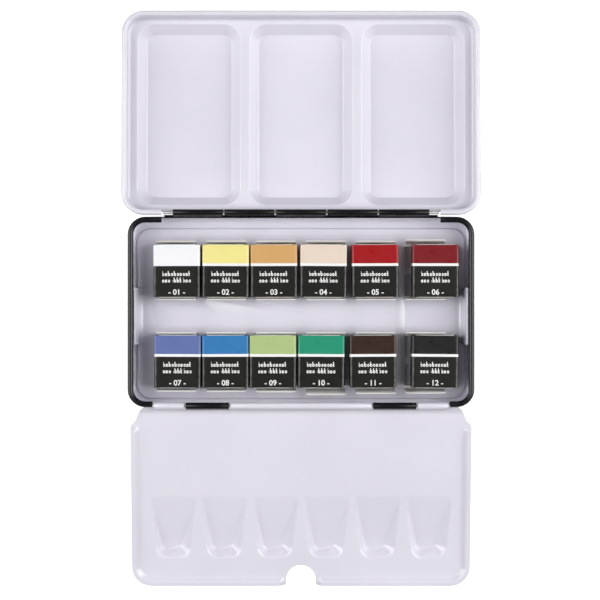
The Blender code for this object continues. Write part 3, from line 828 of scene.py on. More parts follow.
@dataclass
class Finishes:
    """The materials that several pieces share."""

    white: Material = field(default_factory=lambda: Enamel(
        "white_enamel", (0.760, 0.742, 0.820), (0.735, 0.717, 0.797), 0.17).make())
    # painted shade: the tray is the same white enamel as the base; this darker copy stands for the shade deep
    # inside the box
    shaded_tray_white: Material = field(default_factory=lambda: Enamel(
        "shaded_tray_enamel", (0.660, 0.645, 0.715), (0.630, 0.615, 0.687), 0.24).make())
    black: Material = field(default_factory=lambda: WornEnamel("black_enamel").make())
    steel: Material = field(default_factory=lambda: DrawnSteel("drawn_steel").make())
    # painted light: the tongues are bent from the tray's own enamelled sheet; this brighter, warmer copy of
    # its enamel stands for the light they catch
    tongue: Material = field(default_factory=lambda: Enamel(
        "lit_tongue_enamel", (0.80, 0.785, 0.775), (0.72, 0.705, 0.69), 0.30).make())
    ink: Material = field(default_factory=lambda: PrintedWhite().make())


@dataclass
class Base:
    """The drawn base with its rolled bead, cut-down hinge walls and knuckles."""

    finishes: Finishes
    lid_hinge: Hinge
    flap_hinge: Hinge
    bead: float = 1.05 * MM
    corner: float = 6.3 * MM
    foot: float = 2.0 * MM
    front_zone: float = 52.2 * MM
    back_cut: float = 2.2 * MM
    front_cut: float = 2.25 * MM
    knuckle_drop: float = 0.9 * MM

    def _section(self) -> list[tuple[float, float, int]]:
        """Return the wall's section as outset, height and finish: 0 black, 1 white."""
        foot = (-self.foot, self.foot)
        roll = (-self.bead, RIM - self.bead)
        meets = math.degrees(math.acos((self.bead - SHEET) / self.bead))
        outside = arc(foot, self.foot, -90, 0, 8, 0) + arc(roll, self.bead, 0, 222, 18, 0)
        inside = arc(roll, self.bead, 236, 360 - meets, 5, 1) + arc(foot, self.foot - SHEET, 0, -90, 7, 1)
        return outside + inside

    def _trim(self, shell: Piece, half_y: float) -> None:
        """Cut the bead and the top of the wall away where the hinges lie."""
        beyond = 4 * MM
        inner = half_y - 2 * self.bead - 0.3 * MM
        Bench.cut(shell, Bench.block("back_trim", (-BACK_ZONE, inner, RIM - self.back_cut),
                                     (BACK_ZONE, half_y + beyond, RIM + beyond)))
        Bench.cut(shell, Bench.block("front_trim", (-self.front_zone, -half_y - beyond, RIM - self.front_cut),
                                     (self.front_zone, -inner, RIM + beyond)))

    def _apron(self, half_y: float) -> Piece:
        """Return the strip under the back knuckles that meets the lid's."""
        ledge = RIM - self.back_cut
        root, end = (half_y - SHEET / 2, ledge - 1.4 * MM), BACK_ZONE - 0.8 * MM
        runs = ((half_y + 0.1 * MM, ledge - 0.75 * MM), (half_y + 0.65 * MM, ledge - 0.55 * MM))
        return Bench.strip("hinge_apron", root, runs, None, (-end, end), BACK_SHEET)

    def build(self) -> None:
        """Make the base's shell and knuckles."""
        half_y = -self.flap_hinge.axis.y + SHEET
        rings = rings_along(self._section(), (node_box("base_shell")[1].x, half_y), self.corner)
        shell = Bench.loft("base_pan", rings, SHELL_CORNER)
        Bench.coat(shell, (self.finishes.black, self.finishes.white))
        self._trim(shell, half_y)
        Bench.soften(shell, SHELL_EDGE, SHELL_SHARP)
        Bench.dress(shell, (), "base", "black_enamel", ("base_shell",), SHELL_SMOOTH)
        Bench.dress(self._apron(half_y), (self.finishes.black,), "base", "black_enamel")
        wall = half_y - SHEET / 2
        back, front = self.lid_hinge.axis, self.flap_hinge.axis
        knuckles = roll_knuckles(BACK_SPANS[0::2], (wall, RIM - self.back_cut - self.knuckle_drop),
                                 (back.y, back.z), BACK_ROLL, BACK_SHEET, Turn.CLOCKWISE)
        knuckles += roll_knuckles(FRONT_SPANS[1::2], (-wall, RIM - self.front_cut - self.knuckle_drop),
                                  (front.y, front.z), FRONT_ROLL, SHEET, Turn.CLOCKWISE)
        hang_knuckles("base", knuckles, self.finishes.black, "black_enamel")


@dataclass
class HingePin:
    """A hinge wire with chamfered, slightly peened ends."""

    finishes: Finishes
    name: str
    node: str
    sides: int = 24

    def build(self) -> None:
        """Make the pin along its node's box."""
        centre, half = node_box(self.node)
        radius = half.z
        Bench.clear()
        bpy.ops.mesh.primitive_cylinder_add(vertices=self.sides, radius=radius, depth=2 * half.x,
                                            location=centre, rotation=(0.0, math.pi / 2, 0.0))
        pin = bpy.context.object
        pin.name = self.name
        Bench.settle(pin)
        mesh = Bench.edit(pin, "FACE")
        for face in mesh.faces:
            face.select = abs(face.normal.x) > 0.9
        bmesh.update_edit_mesh(pin.data)
        bpy.ops.mesh.inset(thickness=radius * 0.28, depth=0.0)
        bpy.ops.mesh.inset(thickness=radius * 0.25, depth=-radius * 0.12)
        bpy.ops.object.mode_set(mode="OBJECT")
        Bench.soften(pin, radius * THIN_EDGE, THIN_SHARP)
        Bench.dress(pin, (self.finishes.steel,), "base", "pin_steel", (self.node,), 38.0)


@dataclass
class Lid:
    """The pressed lid: outward bead, short wall, ledge and three mixing wells."""

    finishes: Finishes
    hinge: Hinge
    bead: float = 1.0 * MM
    corner: float = 6.0 * MM
    near: float = 1.10 * MM
    rim: float = 0.7 * MM
    ledge: float = -5.6 * MM
    fillet: float = 1.5 * MM
    ledge_side: float = 3.1 * MM
    ledge_end: float = 1.7 * MM
    ridge: float = 2.8 * MM
    well_depth: float = 4.5 * MM
    well_corner: float = 6.5 * MM
    least_corner: float = 1.2 * MM
    crest: float = 0.5 * MM
    hollow: float = 0.7 * MM
    slope: float = 56.0
    wells: int = 3
    knuckle_drop: float = 0.8 * MM

    def _section(self) -> list[tuple[float, float, int]]:
        """Return the rim's section as outset, height and finish: 0 white, 1 black."""
        bend = (SHEET - self.fillet, self.ledge - SHEET + self.fillet)
        roll = (self.bead, self.rim - self.bead)
        meets = math.degrees(math.acos((self.bead - SHEET) / self.bead))
        outside = arc(bend, self.fillet, -90, 0, 6, 1) + arc(roll, self.bead, meets - 180, -50, 5, 1)
        inside = arc(roll, self.bead, -38, 180, 18, 0) + arc(bend, self.fillet - SHEET, 0, -90, 6, 0)
        return outside + inside

    def _well_section(self, outside: bool) -> list[tuple[float, float, int]]:
        """Return a well's section from its mouth to its floor, or its panel's on the outside."""
        spread = SHEET * 0.7 if outside else 0.0
        top = self.ledge - (SHEET if outside else 0.0)
        crest, hollow = (self.hollow, self.crest) if outside else (self.crest, self.hollow)
        angle = math.radians(self.slope)
        straight = self.well_depth - (crest + hollow) * (1 - math.cos(angle))
        bends = [angle * step / 4 for step in range(5)]
        path = [(crest * math.sin(bend), crest * (1 - math.cos(bend))) for bend in bends]
        low_in, low_down = path[-1][0] + straight / math.tan(angle), path[-1][1] + straight
        for bend in [angle * (1 - step / 5) for step in range(6)]:
            path.append((low_in + hollow * (math.sin(angle) - math.sin(bend)),
                         low_down + hollow * (math.cos(bend) - math.cos(angle))))
        return [(spread - inward, top - down, int(outside)) for inward, down in path]

    def _far_edge(self) -> float:
        """Return the lid's inner far edge in its own frame, worked out from its box."""
        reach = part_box("lid_shell")[1].y - self.hinge.axis.y
        bead_height = self.rim - self.bead
        centre = (reach - self.bead - bead_height * math.sin(self.hinge.lie)) / math.cos(self.hinge.lie)
        return centre - self.bead

    def _shell(self, half: Point2, centre: Point2) -> Piece:
        """Return the rim with the wells sunk in it, as one sheet with two faces."""
        rings = rings_along(self._section(), half, self.corner, centre)
        lid = Bench.loft("lid_pressing", rings, SHELL_CORNER, (False, False))
        well_x = (half[0] - self.ledge_side - self.ridge * (self.wells - 1) / 2) / self.wells
        well = (well_x, half[1] - self.ledge_end)
        first = len(rings) + 1
        mouths: dict[bool, list[int]] = {False: [len(rings)], True: [1]}
        for index in range(self.wells):
            middle = ((index - (self.wells - 1) / 2) * (2 * well_x + self.ridge), centre[1])
            for outside in (False, True):
                section = self._well_section(outside)
                rings = rings_along(section, well, self.well_corner, middle, self.least_corner)
                Bench.loft(lid.name, rings, 10, (False, True), onto=lid, first=first)
                mouths[outside].append(first)
                first += len(rings)
        Bench.edit(lid)
        for outside, numbers in mouths.items():
            Bench.cover(lid, numbers, int(outside), bpy.ops.mesh.fill)
        Bench.face_out()
        return lid

    def build(self) -> None:
        """Make the lid's shell and its knuckles."""
        far = self._far_edge()
        half = (node_box("lid_shell")[1].x - 2 * self.bead, (far - self.near) / 2)
        lid = self._shell(half, (0.0, (far + self.near) / 2))
        Bench.coat(lid, (self.finishes.white, self.finishes.black))
        wall_top = -BACK_ROLL - 0.3 * MM
        Bench.cut(lid, Bench.block("lid_trim", (-BACK_ZONE, self.near - 2 * self.bead - MM, wall_top),
                                   (BACK_ZONE, self.near + 0.2 * MM, self.rim + MM)))
        Bench.soften(lid, SHELL_EDGE, SHELL_SHARP)
        Bench.dress(lid, (), "lid", "white_enamel_lid", ("lid_shell",), SHELL_SMOOTH,
                    self.hinge.matrix)
        knuckles = roll_knuckles(BACK_SPANS[1::2], (self.near - SHEET / 2, wall_top - self.knuckle_drop),
                                 (0.0, 0.0), BACK_ROLL, BACK_SHEET, Turn.ANTICLOCKWISE)
        hang_knuckles("lid", knuckles, self.finishes.black, "black_enamel", self.hinge.matrix)


def smooth_step(value: np.ndarray) -> np.ndarray:
    """Return the smooth step of values, 0 below 0 and 1 above 1."""
    clipped = np.clip(value, 0.0, 1.0)
    return clipped * clipped * (3.0 - 2.0 * clipped)


def soft_min(one: np.ndarray, two: np.ndarray | float, blend: float) -> np.ndarray:
    """Return the smaller of two fields, rounded where they meet."""
    share = np.clip(0.5 + 0.5 * (two - one) / blend, 0.0, 1.0)
    return two * (1.0 - share) + one * share - blend * share * (1.0 - share)


def inside_corner(x: np.ndarray, y: np.ndarray, radius: float) -> np.ndarray:
    """Return how far points lie inside a corner's two walls, from places past its arc's centre."""
    outside = np.hypot(np.maximum(x, 0.0), np.maximum(y, 0.0))
    return radius - outside - np.minimum(np.maximum(x, y), 0.0)


@dataclass
class Flap:
    """The mixing flap: a plate with a raised lip, wedge wells and a thumb notch."""

    finishes: Finishes
    hinge: Hinge
    width: float = 120.3 * MM
    reach: float = 65.6 * MM
    corner: float = 7.0 * MM
    face: float = -2.0 * MM
    root: float = 1.8 * MM
    ramp: float = 3.4 * MM
    shoulder: float = 6.2 * MM
    lip_rise: float = 1.2 * MM
    lip_band: float = 1.6 * MM
    lip_slope: float = 1.4 * MM
    lip_start: float = 8.2 * MM
    notch_width: float = 10.4 * MM
    notch_depth: float = 7.4 * MM
    notch_flare: float = 0.9 * MM
    notch_lip: float = 6.9 * MM
    wells: int = 6
    pitch: float = 18.15 * MM
    well_half: float = 8.1 * MM
    well_end_half: float = 5.7 * MM
    well_start: float = 33.2 * MM
    well_end: float = 55.4 * MM
    well_flat: float = 4.6 * MM
    well_depth: float = 3.0 * MM
    wall_left: float = 1.6
    wall_right: float = 0.85
    well_nose: float = 3.8 * MM
    grid: float = 0.5 * MM
    margin: float = 1.5 * MM

    def _outline(self) -> np.ndarray:
        """Return the plate's outline, anticlockwise."""
        half, notch, turn = self.width / 2, self.notch_width / 2, self.shoulder
        points: list[Point2] = []
        for low, high in FRONT_SPANS[0::2]:
            points += [(low, self.root), (low, 0.0), (high, 0.0), (high, self.root)]
        end = points[-1][0] + 0.3 * MM
        side = arc((end, turn), turn, -90, -8, 10) + [(half, self.lip_start - 0.8 * MM)]
        side += arc((half - self.corner, self.reach - self.corner), self.corner, 0, 90, 14)
        side += arc((notch + self.notch_flare, self.reach - self.notch_flare), self.notch_flare, 90, 180, 5)
        bottom = arc((0.0, self.reach - self.notch_depth + notch), notch, 0, -180, 24)
        return np.array(points[1:-1] + side + bottom + [(-x, y) for x, y in reversed(side)])

    def _lip(self, x: np.ndarray, y: np.ndarray) -> np.ndarray:
        """Return the lip's rise over the plate."""
        corner = self.corner
        inward = inside_corner(np.abs(x) - (self.width / 2 - corner), y - (self.reach - corner), corner)
        rise = 1.0 - smooth_step((inward - self.lip_band) / self.lip_slope)
        along = smooth_step((y - self.lip_start) / (1.8 * MM) + 0.5)
        near_front = smooth_step((y - (self.reach - 12 * MM)) / (4 * MM))
        open_notch = 1.0 - smooth_step((np.abs(x) - self.notch_lip + MM) / (1.6 * MM))
        return self.lip_rise * rise * along * (1.0 - near_front * open_notch)

    def _rise(self, y: np.ndarray) -> np.ndarray:
        """Return how far the plate climbs to meet its knuckles."""
        return (SHEET - FRONT_ROLL - self.face) * (1.0 - smooth_step(y / self.ramp))

    def _wells(self, x: np.ndarray, y: np.ndarray) -> np.ndarray:
        """Return the depth of the wedge wells, each with a steeper wall on its left."""
        depth = np.zeros_like(x)
        run, nose = self.well_end - self.well_start, self.well_nose
        share = np.clip((y - self.well_start) / run, 0.0, 1.0)
        half = self.well_half + (self.well_end_half - self.well_half) * share
        wedge = (y - self.well_start) * self.well_depth / (run - self.well_flat)
        for index in range(self.wells):
            side = x - (index - (self.wells - 1) / 2) * self.pitch
            turn = smooth_step(0.5 - side / (5.0 * MM))
            steep = self.wall_left + (self.wall_right - self.wall_left) * turn
            inward = inside_corner(np.abs(side) - (half - nose), y - (self.well_end - nose), nose)
            cup = soft_min(soft_min(wedge, inward * steep, 0.35 * MM), self.well_depth, 0.6 * MM)
            depth = np.maximum(depth, np.clip(cup, 0.0, None))
        return depth

    def _trim(self, x: np.ndarray, y: np.ndarray) -> tuple[np.ndarray, np.ndarray, np.ndarray]:
        """Return points, those outside the outline moved onto it, and whether each was inside."""
        outline = self._outline()
        inside, best = np.zeros(x.shape, bool), np.full(x.shape, np.inf)
        near_x, near_y = x, y
        for (ax, ay), (bx, by) in zip(outline, np.roll(outline, -1, axis=0)):
            if ay != by:
                crosses = (ay > y) != (by > y)
                inside ^= crosses & (x < ax + (y - ay) * (bx - ax) / (by - ay))
            length = (bx - ax) ** 2 + (by - ay) ** 2
            if length < 1e-14:
                continue
            share = np.clip(((x - ax) * (bx - ax) + (y - ay) * (by - ay)) / length, 0.0, 1.0)
            px, py = ax + share * (bx - ax), ay + share * (by - ay)
            gap = np.hypot(x - px, y - py)
            near_x, near_y = np.where(gap < best, px, near_x), np.where(gap < best, py, near_y)
            best = np.minimum(best, gap)
        return np.where(inside, x, near_x), np.where(inside, y, near_y), inside

    def _plate(self) -> Piece:
        """Return the plate: a fine grid pressed to shape, trimmed and given its thickness."""
        size_x, size_y = self.width + 2 * self.margin, self.reach + 2 * self.margin
        centre = (0.0, self.reach / 2, 0.0)
        Bench.clear()
        bpy.ops.mesh.primitive_grid_add(x_subdivisions=round(size_x / self.grid), size=1.0,
                                        y_subdivisions=round(size_y / self.grid), location=centre)
        plate = bpy.context.object
        plate.name = "flap_plate"
        bpy.ops.object.mode_set(mode="EDIT")
        bpy.ops.transform.resize(value=(size_x, size_y, 1.0), center_override=centre)
        bpy.ops.object.mode_set(mode="OBJECT")
        Bench.settle(plate)
        flat = np.empty(len(plate.data.vertices) * 3)
        plate.data.vertices.foreach_get("co", flat)
        x, y, inside = self._trim(flat[0::3].copy(), flat[1::3].copy())
        flat[0::3], flat[1::3] = x, y
        flat[2::3] = self.face + self._lip(x, y) - self._wells(x, y) + self._rise(y)
        plate.data.vertices.foreach_set("co", flat)
        mesh = Bench.edit(plate, "FACE")
        for face in mesh.faces:
            face.select = not any(inside[vert.index] for vert in face.verts)
        bmesh.update_edit_mesh(plate.data)
        bpy.ops.mesh.delete(type="FACE")
        bpy.ops.mesh.select_all(action="SELECT")
        bpy.ops.mesh.remove_doubles(threshold=0.01 * MM)
        bpy.ops.object.mode_set(mode="OBJECT")
        Bench.modify(plate, "SOLIDIFY", thickness=SHEET, offset=-1.0, use_even_offset=True)
        return plate

    def build(self) -> None:
        """Make the flap's plate and its three knuckles."""
        white, slot, matrix = self.finishes.white, "white_enamel_flap", self.hinge.matrix
        Bench.dress(self._plate(), (white,), "flap", slot, ("mixing_flap",), 50.0, matrix)
        middle = FRONT_ROLL - SHEET / 2
        roll = ((0.0, 0.0), Turn.CLOCKWISE, PLATE_ROLL)
        knuckles = [Bench.strip("knuckle", (0.05 * MM, -middle), ((0.0, -middle),), roll, span, SHEET)
                    for span in FRONT_SPANS[0::2]]
        hang_knuckles("flap", knuckles, white, slot, matrix)


@dataclass
class Tray:
    """The lift-out tray: a skirted plate, tongues at both ends of each pan, side tabs."""

    finishes: Finishes
    pans: Sequence[Pan]
    corner: float = 5.2 * MM
    skirt: float = 1.5 * MM
    top: float = 2.3 * MM
    bend: float = 0.9 * MM
    tongue_width: float = 14.0 * MM
    tongue_height: float = 8.4 * MM
    tongue_sheet: float = 0.4 * MM
    tongue_foot: float = 0.3 * MM
    tongue_bend: float = 0.45 * MM
    tongue_head: float = 1.4 * MM
    tongue_fit: float = 0.25 * MM
    pitch: float = 17.6 * MM
    tab_length: float = 20.0 * MM
    tab_height: float = 10.9 * MM
    tab_inset: float = 0.95 * MM
    tab_lean: float = 0.9 * MM
    back_leans: tuple[float, ...] = (2.0, 2.4, 2.0, 2.4, 1.8, 5.5)
    front_leans: tuple[float, ...] = (2.5, 3.0, 4.0, 11.5, 8.5, 7.5)
    inner_lean: float = -1.0

    def _plate(self) -> Piece:
        """Return the skirted plate with its bent edge."""
        centre, half = node_box("pan_tray")
        middle = (-self.bend, self.top - self.bend)
        inner = arc(middle, self.bend - SHEET, 90, 0, 4)[1:]
        outer = arc(middle, self.bend, 0, 90, 6)
        foot = self.top - self.skirt
        section = [(-self.bend, self.top - SHEET)] + inner + [(-SHEET, foot), (0.0, foot)] + outer
        rings = rings_along(section, half.xy, self.corner, tuple(centre.xy))
        return Bench.loft("tray_plate", rings, SHELL_CORNER)

    def _tongue(self) -> Piece:
        """Return a tongue at the origin, facing +Y, its foot bent and its head rounded and curled."""
        half = self.tongue_width / 2
        tongue = Bench.plane("tongue_pattern", (2 * half, 2 * self.tongue_foot), (0.0, 0.0, 0.0))
        Bench.pick(tongue, lambda vert: vert.co.y > 0.0)
        bpy.ops.mesh.spin(steps=5, angle=math.pi / 2, center=(0.0, self.tongue_foot, self.tongue_bend),
                          axis=(-1.0, 0.0, 0.0))
        rise = self.tongue_height - self.tongue_bend
        for share, lean in ((0.62, 0.0), (0.2, 0.02), (0.1, 0.08), (0.05, 0.15), (0.03, 0.18)):
            Bench.draw(lean * MM, rise * share)
        Bench.weld()
        peak = max(vert.co.z for vert in bmesh.from_edit_mesh(tongue.data).verts)
        Bench.pick(tongue, lambda vert: vert.co.z > peak - 0.01 * MM)
        narrowed = (1.0 - self.tongue_head / half, 1.0, 1.0)
        bpy.ops.transform.resize(value=narrowed, center_override=(0.0, 0.0, 0.0))
        Bench.face_out()
        Bench.settle(tongue)
        Bench.modify(tongue, "SOLIDIFY", thickness=self.tongue_sheet, offset=0.0)
        Bench.soften(tongue, 0.08 * MM, THIN_SHARP)
        return tongue

    def _window(self, x: float, row: float, side: int) -> Piece:
        """Return the cutter of the window that a tongue is bent from."""
        half = self.tongue_width / 2
        reach = Pan.length / 2 + Pan.fit
        near, far = sorted((row + side * reach, row + side * (reach - self.tongue_height)))
        low, high = self.top - self.skirt - MM, self.top + MM
        return Bench.block("window", (x - half, near, low), (x + half, far, high))

    def _column(self, column: int) -> float:
        """Return the middle of a pan's place along its row."""
        return (column - (len(self.pans) // 2 - 1) / 2) * self.pitch

    def _lean(self, back: bool, column: int, side: int) -> Matrix:
        """Return how a tongue has been pushed outwards about its foot."""
        leans = self.back_leans if back else self.front_leans
        angle = leans[column] if (side > 0) == back else self.inner_lean
        foot = Matrix.Translation((0.0, 0.75 * MM, 0.5 * MM))
        return foot @ Matrix.Rotation(math.radians(-angle), 4, "X") @ foot.inverted()

    def _build_side_tab(self, name: str, side: int, row: float) -> None:
        """Make one bent-up side tab, leaning outwards."""
        foot = node_box("pan_tray")[1].x - self.tab_inset
        head, peak = foot + self.tab_lean, self.top + self.tab_height
        runs = ((foot - 0.25 * MM, self.top + 0.15 * MM), (foot - 0.05 * MM, self.top + 0.6 * MM),
                (foot + self.tab_lean * 0.75, peak - 0.9 * MM), (head + 0.1 * MM, peak - 0.1 * MM))
        tab = Bench.strip(name, (foot - 1.2 * MM, self.top - 0.1 * MM), runs, None,
                          (-self.tab_length / 2, self.tab_length / 2), SHEET)
        place = Matrix.Translation((0.0, row, 0.0)) @ Matrix.Rotation(-side * math.pi / 2, 4, "Z")
        Bench.dress(tab, (self.finishes.shaded_tray_white,), "tray", "white_enamel_tray", matrix=place)

    def build(self) -> None:
        """Make the tray and its bent-up pieces."""
        rows = sorted({round(pan.origin.y, 6) for pan in self.pans})
        places = list(product(rows, range(len(self.pans) // 2), (-1, 1)))
        plate = self._plate()
        windows = [self._window(self._column(column), row, side) for row, column, side in places]
        Bench.cut(plate, Bench.join(windows))
        Bench.soften(plate, 0.1 * MM, SHELL_SHARP)
        Bench.dress(plate, (self.finishes.shaded_tray_white,), "tray", "white_enamel_tray", ("pan_tray",),
                    SHELL_SMOOTH)
        pattern = self._tongue()
        reach = Pan.length / 2 + self.tongue_fit + self.tongue_sheet / 2 - 0.75 * MM
        for number, (row, column, side) in enumerate(places, start=1):
            about = Matrix.Rotation(0.0 if side > 0 else math.pi, 4, "Z")
            spot = Matrix.Translation((self._column(column), row + side * reach, self.top - 0.2 * MM))
            Bench.dress(Bench.copy(pattern, f"tongue_{number:02d}"), (self.finishes.tongue,), "tray",
                        "white_enamel_tray", matrix=spot @ about @ self._lean(row == rows[-1], column, side))
        bpy.data.objects.remove(pattern, do_unlink=True)
        for name, side in (("side_tab_left", -1), ("side_tab_right", 1)):
            self._build_side_tab(name, side, sum(rows) / len(rows))


@dataclass
class Pan:
    """One half pan: cup, cake, paper wrapper and printed number."""

    number: int
    colour: Point3
    slot: str
    stripe: bool
    turn: float = 0.0
    width: float = 16.4 * MM
    length: float = 18.9 * MM
    height: float = 10.4 * MM
    paper: float = 0.30 * MM
    fit: float = 0.3 * MM
    setback: float = 0.3 * MM
    fold: float = 0.7 * MM
    wall: float = 1.0 * MM
    number_size: float = 2.7 * MM
    number_place: float = -7.55 * MM
    origin: Vector = field(default_factory=Vector)

    def locate(self) -> None:
        """Take the pan's place and turn from its wrapper's node."""
        node = f"label_{self.number:02d}"
        middle, half = node_box(node)
        self.origin = Vector((middle.x, middle.y, middle.z - half.z))
        corner = max((vert.co for vert in bpy.data.objects[node].data.vertices), key=lambda co: co.y)
        aside = corner.x - middle.x
        excess = 2 * half.y - (self.length - 2 * self.setback)
        self.turn = math.copysign(math.asin(min(max(excess, 0.0) / self.width, 0.2)), aside) if aside else 0.0

    def _cup(self) -> Piece:
        """Return the moulded cup with its soft rim."""
        half = (self.width / 2 - self.paper - self.fit - 0.05 * MM, self.length / 2)
        foot, top = self.paper + self.fit, self.height - self.paper - self.fit
        lip, floor = self.wall / 2, foot + self.wall
        section = [(-0.7 * MM, foot), (-0.4 * MM, foot + 0.12 * MM), (-0.3 * MM, foot + 0.4 * MM),
                   (0.0, top - lip)]
        section += arc((-lip, top - lip), lip, 0, 180, 8)[1:]
        section += [(-self.wall - 0.3 * MM, floor + 0.6 * MM), (-self.wall - 0.8 * MM, floor)]
        return Bench.loft(f"cup_{self.number:02d}", rings_along(section, half, 1.6 * MM, least=0.7 * MM), 6)

    def _cake(self) -> Piece:
        """Return the dried cake, sunk in the middle and climbing at its edge."""
        inset = self.wall + 0.4 * MM
        half = (self.width / 2 - self.paper - self.fit - inset, self.length / 2 - inset)
        floor = self.paper + 2 * self.fit + self.wall + 0.1 * MM
        top = self.height - self.paper - self.fit - 1.2 * MM
        section = [(-0.9 * MM, floor), (-0.5 * MM, floor + 0.5 * MM), (0.0, top - 0.5 * MM), (0.0, top),
                   (-0.35 * MM, top + 0.05 * MM), (-1.2 * MM, top - 0.35 * MM), (-2.8 * MM, top - 0.6 * MM),
                   (-4.6 * MM, top - 0.7 * MM)]
        return Bench.loft(f"cake_{self.number:02d}", rings_along(section, half, 1.2 * MM, least=0.35 * MM), 5)

    def _wrapper(self) -> Piece:
        """Return the folded paper sleeve, its long edges rounded and its top a little slack."""
        half_x, half_z = self.width / 2, self.height / 2
        half_y = self.length / 2 - self.setback
        stations = (-1.0, -0.97, -0.8, -0.45, 0.0, 0.45, 0.8, 0.97, 1.0)
        section = [(0.0, share * half_y) for share in stations]
        section += [(-self.paper, share * half_y) for share in reversed(stations)]
        rings = rings_along(section, (half_x, half_z), self.fold)
        sleeve = Bench.loft(f"wrapper_{self.number:02d}", rings, 8, closed=True)
        Bench.settle(sleeve, Matrix.Translation((0.0, 0.0, half_z)) @ Matrix.Rotation(math.pi / 2, 4, "X"))
        mesh = Bench.edit(sleeve, "EDGE", "SELECT")
        for edge in mesh.edges:
            edge.select = abs(edge.verts[1].co.x - edge.verts[0].co.x) > half_x - 0.2 * MM
        bmesh.update_edit_mesh(sleeve.data)
        bpy.ops.mesh.subdivide(number_cuts=11)
        for vert in bmesh.from_edit_mesh(sleeve.data).verts:
            vert.co.z += self._slack(vert.co)
        bmesh.update_edit_mesh(sleeve.data)
        Bench.face_out()
        Bench.soften(sleeve, 0.06 * MM, 60.0, 1)
        return sleeve

    def _slack(self, co: Vector) -> float:
        """Return how far the paper's top stands up or sinks at a point."""
        if co.z < self.height / 2:
            return 0.0
        across = max(0.0, 1.0 - (co.x / (self.width / 2 - self.fold)) ** 2)
        phase = self.number * 1.7
        wave = math.sin(co.y / (4.1 * MM) + phase) * 0.35 + math.sin(co.x / (3.3 * MM) + phase * 2.3) * 0.25
        end = (co.y / (self.length / 2)) ** 4
        return -across * MM * (0.05 + 0.045 * wave + 0.06 * end)

    def _printed_number(self) -> Piece:
        """Return the printed colour number, a thin film on the wrapper's black part."""
        Bench.clear()
        bpy.ops.object.text_add(location=(0.0, 0.0, 0.0))
        text = bpy.context.object
        text.name = f"number_{self.number:02d}"
        text.data.body = f"- {self.number:02d} -"
        text.data.size = self.number_size
        text.data.align_x = text.data.align_y = "CENTER"
        text.data.extrude = 0.012 * MM
        text.data.offset = 0.055 * MM
        text.data.resolution_u = 4
        bpy.ops.object.convert(target="MESH")
        piece = bpy.context.object
        Bench.edit(piece)
        Bench.weld()
        Bench.face_out()
        Bench.settle(piece, Matrix.Translation((0.0, self.number_place, self.height - 0.03 * MM)))
        return piece

    def build(self, finishes: Finishes) -> None:
        """Make the pan's pieces."""
        tag = f"{self.number:02d}"
        origin = tuple(self.origin)
        matrix = Matrix.Translation(self.origin) @ Matrix.Rotation(self.turn, 4, "Z")
        printed = WrapperPrint(f"wrapper_print_{tag}", self.colour, origin, self.turn,
                               self.length - 2 * self.setback, self.stripe)
        plastic = PanPlastic(f"pan_plastic_{tag}", self.colour)
        dried = DriedPaint(f"dried_{self.slot}", self.colour)
        for piece, finish, slot, nodes in (
            (self._cup(), plastic.make(), "pan_plastic", (f"pan_cup_{tag}",)),
            (self._cake(), dried.make(), self.slot, (f"paint_cake_{tag}",)),
            (self._wrapper(), printed.make(), "wrapper_paper", (f"label_{tag}",)),
            (self._printed_number(), finishes.ink, "wrapper_paper", ()),
        ):
            Bench.dress(piece, (finish,), f"pan_{tag}", slot, nodes, matrix=matrix)


# ---------------------------------------------------------------- studio

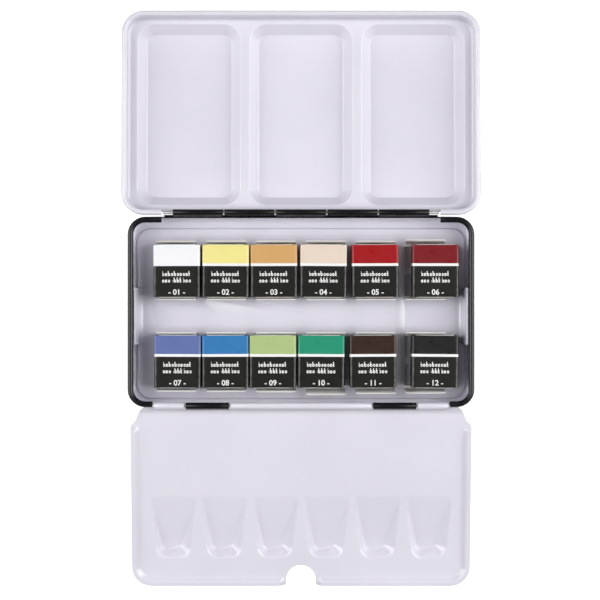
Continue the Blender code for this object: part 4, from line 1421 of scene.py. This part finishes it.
@dataclass
class Studio:
    """A white table, two tall soft lights at the sides, a weak one above, and the camera."""

    camera_height: float = 0.700
    view_width: float = 0.2105
    centre: Point2 = (-0.35 * MM, 4.2 * MM)
    sensor: float = 36.0

    def _light(self, name: str, place: Point3, size: Point2, power: float) -> bpy.types.Object:
        """Hang one rectangular soft light, turned towards the middle of the table, and return it."""
        data = bpy.data.lights.new(name, "AREA")
        data.shape = "RECTANGLE"
        data.size, data.size_y = size
        data.energy = power
        light = bpy.data.objects.new(name, data)
        light.location = place
        light.rotation_euler = (-Vector(place)).to_track_quat("-Z", "Y").to_euler()
        bpy.context.scene.collection.objects.link(light)
        return light

    def _camera(self) -> None:
        """Hang the camera over the box, looking straight down."""
        data = bpy.data.cameras.new("camera")
        data.sensor_width = self.sensor
        data.lens = self.sensor * self.camera_height / self.view_width
        data.clip_end = 20.0
        camera = bpy.data.objects.new("camera", data)
        camera.location = (*self.centre, self.camera_height + RIM)
        bpy.context.scene.collection.objects.link(camera)
        bpy.context.scene.camera = camera

    def _table(self) -> None:
        """Lay the pale table top, kept from lighting the box's matt faces."""
        Bench.clear()
        bpy.ops.mesh.primitive_plane_add(size=6.0, location=(0.0, 0.0, -0.02 * MM))
        table = bpy.context.object
        table.name = "table_top"
        graph = Graph(bpy.data.materials.new("table_white"))
        grain = graph.noise(graph.place(), 60.0)
        colour = graph.blend(grain.ramp(0.3, 0.7), (0.90, 0.90, 0.90), (0.93, 0.93, 0.93))
        table.data.materials.append(graph.finish(Base_Color=colour, Roughness=0.6,
                                                 Emission_Color=(1.0, 1.0, 1.0), Emission_Strength=0.85))
        table.visible_diffuse = False

    def _surroundings(self) -> None:
        """Surround the table with a white sky, darker overhead and below the horizon."""
        graph = Graph(bpy.data.worlds.new("studio"))
        height = graph.axes(graph.node("TexCoord", {}, output="Generated"))[2]
        overhead = graph.node("MapRange", {}, [height, 0.60, 0.96, 0.65, 0.05])
        horizon = graph.node("MapRange", {}, [height, -0.10, 0.10, 0.18, 1.0])
        graph.plug(graph.nodes["Background"].inputs["Strength"], overhead * horizon)
        bpy.context.scene.world = graph.owner

    def build(self) -> None:
        """Set up the camera, table, lights and surroundings."""
        self._camera()
        self._table()
        self._light("left_softbox", (-0.71, 0.04, 0.66), (0.62, 1.1), 8.2)
        self._light("right_softbox", (0.71, 0.02, 0.66), (0.62, 1.1), 9.4)
        self._light("ceiling_light", (0.0, 0.0, 0.95), (0.7, 0.7), 0.55).visible_glossy = False
        self._surroundings()
        bpy.context.scene.view_settings.view_transform = "Standard"


# ---------------------------------------------------------------- the whole box

def linear(byte: int) -> float:
    """Return a screen colour's channel as linear light."""
    share = byte / 255.0
    return share / 12.92 if share <= 0.04045 else ((share + 0.055) / 1.055) ** 2.4


class Colour(Enum):
    """The twelve colours, back row then front row: screen colour of the band and record's slot."""

    WHITE = ((240, 240, 243), "paint_white")
    LEMON = ((238, 226, 143), "paint_lemon_yellow")
    OCHRE = ((210, 163, 103), "paint_ochre_orange")
    PEACH = ((227, 210, 194), "paint_peach")
    RED = ((158, 6, 15), "paint_red")
    CRIMSON = ((121, 12, 22), "paint_crimson")
    VIOLET = ((95, 113, 168), "paint_violet_blue")
    BLUE = ((50, 120, 179), "paint_blue")
    LIGHT_GREEN = ((172, 192, 129), "paint_light_green")
    GREEN = ((34, 145, 112), "paint_green")
    BROWN = ((53, 32, 22), "paint_brown")
    BLACK = ((24, 24, 25), "paint_black")


def make_pans() -> list[Pan]:
    """Return the twelve pans in their places; the white one's wrapper has no stripe."""
    pans = []
    for number, colour in enumerate(Colour, start=1):
        screen, slot = colour.value
        pans.append(Pan(number, tuple(linear(byte) for byte in screen), slot, colour is not Colour.WHITE))
        pans[-1].locate()
    return pans


def main() -> None:
    """Build the box around its frame."""
    logging.basicConfig(level=logging.INFO, format="%(name)s: %(message)s")
    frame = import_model()
    finishes = Finishes()
    lid_hinge = Hinge.read(frame["joints"], "lid_hinge", faces_front=False)
    flap_hinge = Hinge.read(frame["joints"], "flap_hinge", faces_front=True)
    Base(finishes, lid_hinge, flap_hinge).build()
    HingePin(finishes, "lid_pin", "lid_hinge_pin").build()
    HingePin(finishes, "flap_pin", "flap_hinge_pin").build()
    Lid(finishes, lid_hinge).build()
    Flap(finishes, flap_hinge).build()
    pans = make_pans()
    Tray(finishes, pans).build()
    for pan in pans:
        pan.build(finishes)
    Studio().build()


if __name__ == "__main__":
    main()
